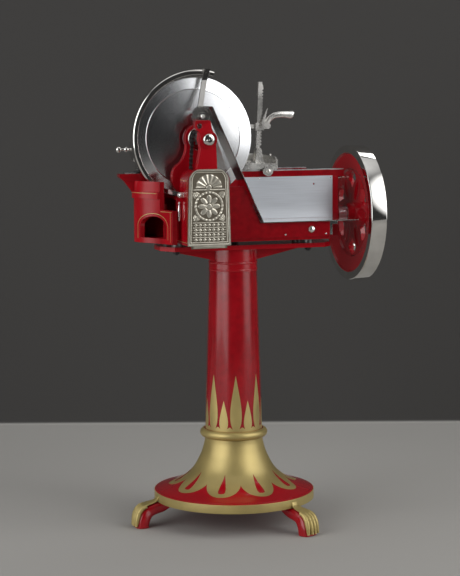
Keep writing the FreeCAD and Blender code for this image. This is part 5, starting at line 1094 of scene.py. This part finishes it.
# ---- small fittings and painted lines ---------------------------------------------------------
def screw_head(axis, centre, r, out, thick):
    """Round screw head, turned: a wall half as high as the head, sloped in to its flat top."""
    head = eased([(POINT, out), (r, out), (r, out - thick * 0.5), (r * 0.55, out - thick),
                  (POINT, out - thick)], 0.5)
    return turned(axis, centre, head, 28)


def small_screws():
    """Screws in sight on the box's side, the cover and the splash plate, and the rail's stop."""
    cover_lo, cover_hi = span("side_cover")
    screws = [screw_head("x", (0, -150, 1014), 3.0, -190.0, 1.6)]
    for x in (cover_lo[0] + 190, cover_hi[0] - 12):
        screws.append(screw_head("y", (x, 0, cover_lo[2] + 8), 2.4, cover_lo[1], 1.2))
    for x, z in ((SPLASH_LO[0] + 60, SPLASH_HI[2] - 5), (SPLASH_HI[0] - 6, SPLASH_HI[2] - 6)):
        screws.append(screw_head("y", (x, 0, z), 2.0, SPLASH_LO[1], 0.9))
    build("bright_screws", screws, "nickel")
    rail_lo, rail_hi = span("front_rail")
    nut = eased([(r, rail_hi[2] + rise) for r, rise in (
        (POINT, 0), (11, 0), (11, 5), (9, 7), (3, 7), (3, 5.4), (POINT, 5.4))], 0.8)
    at = (rail_lo[0] + 56, (rail_lo[1] + rail_hi[1]) / 2, 0)
    build("rail_stop", [turned("z", at, nut, 32)], "dark_iron")


ARCH_Y, ARCH_HALF, ARCH_RISE, ARCH_SPRING, ARCH_SILL = -57, 52.0, 39, 880.0, 846.0
BOX_LOW, BOX_HIGH, BOX_FRONT, BOX_BACK = 840.0, 1016.0, -181.0, -112.0


def arch_line():
    """Line round the end wall's arch: up one side, over a half ellipse and down the other."""
    wall = np.linspace(ARCH_SILL, ARCH_SPRING, 8)[:-1]
    t = np.linspace(0, np.pi, 40)
    return ([(ARCH_Y + ARCH_HALF, z) for z in wall]
            + [(ARCH_Y + ARCH_HALF * np.cos(a), ARCH_SPRING + ARCH_RISE * np.sin(a)) for a in t]
            + [(ARCH_Y - ARCH_HALF, z) for z in wall[::-1]])


def striping(width):
    """Gold lines on the castings, each laid from the left on the skin that it is cast on to."""
    def level(y0, y1, z, steps):
        return [(y, z) for y in np.linspace(y0, y1, steps)]

    def plumb(y, z0, z1, steps):
        return [(y, z) for z in np.linspace(z0, z1, steps)]

    lines = {"base_frame": (level(-74, 22, 976.0, 40), level(-127, -81, 925.5, 16), arch_line(),
                            plumb(-121, 840, 924, 12)),
             "blade_bracket": (plumb(BOX_FRONT, BOX_LOW, BOX_HIGH, 20),
                               level(-180, -81, BOX_LOW + 2, 16),
                               level(-180, BOX_BACK, BOX_HIGH, 12))}
    away = -520.0
    grids = []
    for node, node_lines in lines.items():
        skin = skin_of(node)
        grids += [painted_line(skin, [(away, y, z) for y, z in line], (1, 0, 0), width)
                  for line in node_lines]
    build("gold_striping", grids, "gold_paint")


# ---- stage ------------------------------------------------------------------------------------
HEADING, PITCH, ROLL = np.radians([17.6, 6.6, -0.3])
FOCAL_PX, PICTURE_PX, SENSOR = 1840.0, 576.0, 36.0
VIEW_DEPTH, VIEW_HEIGHT, ASIDE = 5372.8, 690.0, 8.76
FLOOR_START, FLOOR_HALF, FLOOR_DROP, FLOOR_STEPS = -4200, 5200, 0.2, 20
COVE_START, COVE_R, BACKDROP_TOP = 1506.0, 14.0, 4200.0
LAMP_AIM = (AXIS_X * MM, 0.0, 0.95)
# Name, place in metres, width and height in metres, share of the key's power, tint.
LAMPS = (("key", (2.2, -2.9, 2.3), (1.0, 2.2), 1.0, (1, 0.985, 0.96)),
         ("side", (-2.9, -1.6, 1.6), (0.8, 2.2), 0.6, (0.95, 0.97, 1.0)),
         ("back", (0.9, 1.3, 2.9), (1.6, 0.6), 0.6, (1, 1, 1)))
# Direction of each soft wall, cosines where it begins and is full, and its strength.
SOFT_WALLS = (((0.74, -0.58, 0.42), 0.80, 0.90, 1.9), ((-0.92, -0.34, 0.22), 0.78, 0.90, 2.2),
              ((-0.05, 0.10, 0.98), 0.72, 0.94, 0.70), ((0.1, 0.95, 0.25), 0.85, 0.97, 0.30))
DIM_ROOM = 0.03


def camera():
    """Camera from its heading, pitch and roll, aimed beside the pedestal's axis."""
    ahead = np.array([np.sin(HEADING) * np.cos(PITCH), np.cos(HEADING) * np.cos(PITCH),
                      -np.sin(PITCH)])
    level = np.array([np.cos(HEADING), -np.sin(HEADING), 0.0])
    up = np.cross(level, ahead)
    right = level * np.cos(ROLL) + up * np.sin(ROLL)
    up = np.cross(right, ahead)
    place = np.array([AXIS_X, 0, VIEW_HEIGHT]) - ahead * VIEW_DEPTH - right * ASIDE
    data = bpy.data.cameras.new("camera")
    data.sensor_width = SENSOR
    data.lens = FOCAL_PX * SENSOR / PICTURE_PX
    data.clip_end = 60.0
    view = linked("camera", data)
    turn = Matrix([[*row] for row in np.stack([right, up, -ahead], 1)]).to_4x4()
    view.matrix_world = Matrix.Translation(Vector(place * MM)) @ turn
    bpy.context.scene.camera = view


def lamp(name, place, size, power, tint):
    """Soft rectangular lamp aimed at the middle of the machine."""
    data = bpy.data.lights.new(name, "AREA")
    data.shape = "RECTANGLE"
    data.size, data.size_y = size
    data.energy = power
    data.color = tint
    light = linked(name, data)
    light.location = place
    light.rotation_euler = (Vector(LAMP_AIM) - Vector(place)).to_track_quat("-Z", "Y").to_euler()


def room_light():
    """World that is dim but for soft bright walls, which only the object sees: each fades by
    the angle from its middle."""
    world = bpy.data.worlds.new("studio")
    bpy.context.scene.world = world
    world.use_nodes = True
    tree = world.node_tree
    where = add(tree, "TexCoord").outputs["Generated"]
    total = DIM_ROOM
    for toward, outer, inner, strength in SOFT_WALLS:
        near = reckon(tree, "VectorMath", {"operation": "DOT_PRODUCT"}, where,
                      tuple(np.array(toward) / np.linalg.norm(toward)))
        fade = add(tree, "MapRange", {"interpolation_type": "SMOOTHSTEP"},
                   Value=near.outputs["Value"], From_Min=outer, From_Max=inner, To_Min=0.0,
                   To_Max=strength)
        total = reckon(tree, "Math", {"operation": "ADD"}, fade.outputs["Result"],
                       total).outputs[0]
    seen = add(tree, "LightPath").outputs["Is Camera Ray"]
    plain = add(tree, "Mix", Factor=seen, A=total, B=DIM_ROOM * 2)
    feed(tree, tree.nodes["Background"], Strength=plain.outputs["Result"], Color=(1, 1, 1, 1))


def stage(settings):
    """Floor that curves up into the backdrop, the room's light, three soft lamps, the camera."""
    turn = np.linspace(0, np.pi / 2, 24)[1:]
    depth = np.concatenate([np.linspace(FLOOR_START, COVE_START, FLOOR_STEPS),
                            COVE_START + COVE_R * np.sin(turn), [COVE_START + COVE_R]])
    rise = np.concatenate([np.zeros(FLOOR_STEPS), COVE_R - COVE_R * np.cos(turn), [BACKDROP_TOP]])
    across = np.linspace(-FLOOR_HALF, FLOOR_HALF, 12)
    c, s = np.cos(-HEADING), np.sin(-HEADING)
    x = across[:, None] * c - depth[None, :] * s
    y = across[:, None] * s + depth[None, :] * c
    grid = np.stack([x, y, np.broadcast_to(rise - FLOOR_DROP, x.shape)], -1)
    mesh = bpy.data.meshes.new("studio_floor")
    mesh.from_pydata(((grid + AXIS) * MM).reshape(-1, 3).tolist(), [],
                     grid_faces(len(across), len(depth), False, False, 0).tolist())
    mesh.shade_smooth()
    mesh.materials.append(studio_paper(tuple(settings.floor), tuple(settings.backdrop)))
    floor = linked("studio_floor", mesh)
    room_light()
    for name, place, size, share, tint in LAMPS:
        lamp(name, place, size, settings.key_power * share, tint)
    camera()
    bpy.context.scene.view_settings.view_transform = "Standard"


# ---- operators --------------------------------------------------------------------------------
class SLICER_OT_finishes(bpy.types.Operator):
    """Make the finishes and give them to the frame's solids."""
    bl_idname = "slicer.finishes"
    bl_label = "Finishes"

    def execute(self, context):
        make_finishes(context.scene.slicer_finish)
        dress_nodes()
        return {"FINISHED"}


class SLICER_OT_pedestal(bpy.types.Operator):
    """Build the pedestal's foot, column, collar and legs."""
    bl_idname = "slicer.pedestal"
    bl_label = "Pedestal"

    def execute(self, context):
        pedestal_foot()
        column()
        collar()
        for name, degrees in (("leg_left", 180), ("leg_front", -60), ("leg_rear", 60)):
            paw(name, np.radians(degrees))
        return {"FINISHED"}


class SLICER_OT_gilding(bpy.types.Operator):
    """Paint the gold ornament of the pedestal and the striping of the castings."""
    bl_idname = "slicer.gilding"
    bl_label = "Gilding"

    def execute(self, context):
        ornament = context.scene.slicer_ornament
        gilded_skirt(ornament.lobes)
        gilded_bands()
        red_drops(ornament.lobes)
        gilded_leaves(ornament.leaves, ornament.leaf_height / MM)
        striping(ornament.stripe_width / MM)
        return {"FINISHED"}


class SLICER_OT_flywheel(bpy.types.Operator):
    """Build the polished rim, the enamelled ring and the crank's grip."""
    bl_idname = "slicer.flywheel"
    bl_label = "Flywheel"

    def execute(self, context):
        wheel_rim()
        wheel_ring()
        varnished_grip()
        return {"FINISHED"}


class SLICER_OT_knife(bpy.types.Operator):
    """Build the knife, its guard and the bearing fittings."""
    bl_idname = "slicer.knife"
    bl_label = "Knife and guard"

    def execute(self, context):
        knife()
        guard_ring()
        bearing_fittings()
        return {"FINISHED"}


class SLICER_OT_plaque(bpy.types.Operator):
    """Build the cast front plate with its plain ornament."""
    bl_idname = "slicer.plaque"
    bl_label = "Front plate"

    def execute(self, context):
        settings = context.scene.slicer_plaque
        cast_plate(settings.relief / MM, settings.petals)
        return {"FINISHED"}


class SLICER_OT_fittings(bpy.types.Operator):
    """Build the hand lever, the dial, the drop handle and the screws."""
    bl_idname = "slicer.fittings"
    bl_label = "Fittings"

    def execute(self, context):
        hand_lever()
        thickness_dial()
        drop_handle()
        small_screws()
        return {"FINISHED"}


class SLICER_OT_stage(bpy.types.Operator):
    """Build the floor, the lamps and the camera."""
    bl_idname = "slicer.stage"
    bl_label = "Stage"

    def execute(self, context):
        stage(context.scene.slicer_stage)
        return {"FINISHED"}


OPERATORS = (SLICER_OT_finishes, SLICER_OT_pedestal, SLICER_OT_gilding, SLICER_OT_flywheel,
             SLICER_OT_knife, SLICER_OT_plaque, SLICER_OT_fittings, SLICER_OT_stage)
SETTINGS = {"slicer_finish": FinishSettings, "slicer_ornament": OrnamentSettings,
            "slicer_plaque": PlaqueSettings, "slicer_stage": StageSettings}


class SLICER_PT_panel(bpy.types.Panel):
    """The steps and their settings."""
    bl_idname = "SLICER_PT_panel"
    bl_label = "Meat slicer"
    bl_space_type = "VIEW_3D"
    bl_region_type = "UI"
    bl_category = "Slicer"

    def draw(self, context):
        for operator in OPERATORS:
            self.layout.operator(operator.bl_idname)
        for name in SETTINGS:
            group = getattr(context.scene, name)
            for key in group.bl_rna.properties.keys():
                if key not in ("rna_type", "name"):
                    self.layout.prop(group, key)


def register():
    for name, group in SETTINGS.items():
        bpy.utils.register_class(group)
        setattr(bpy.types.Scene, name, bpy.props.PointerProperty(type=group))
    for cls in (*OPERATORS, SLICER_PT_panel):
        bpy.utils.register_class(cls)


def unregister():
    for cls in reversed((*OPERATORS, SLICER_PT_panel)):
        bpy.utils.unregister_class(cls)
    for name, group in SETTINGS.items():
        delattr(bpy.types.Scene, name)
        bpy.utils.unregister_class(group)


def main():
    """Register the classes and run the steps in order."""
    register()
    bpy.ops.slicer.finishes()
    bpy.ops.slicer.pedestal()
    bpy.ops.slicer.gilding()
    bpy.ops.slicer.flywheel()
    bpy.ops.slicer.knife()
    bpy.ops.slicer.plaque()
    bpy.ops.slicer.fittings()
    bpy.ops.slicer.stage()


if __name__ == "__main__":
    main()
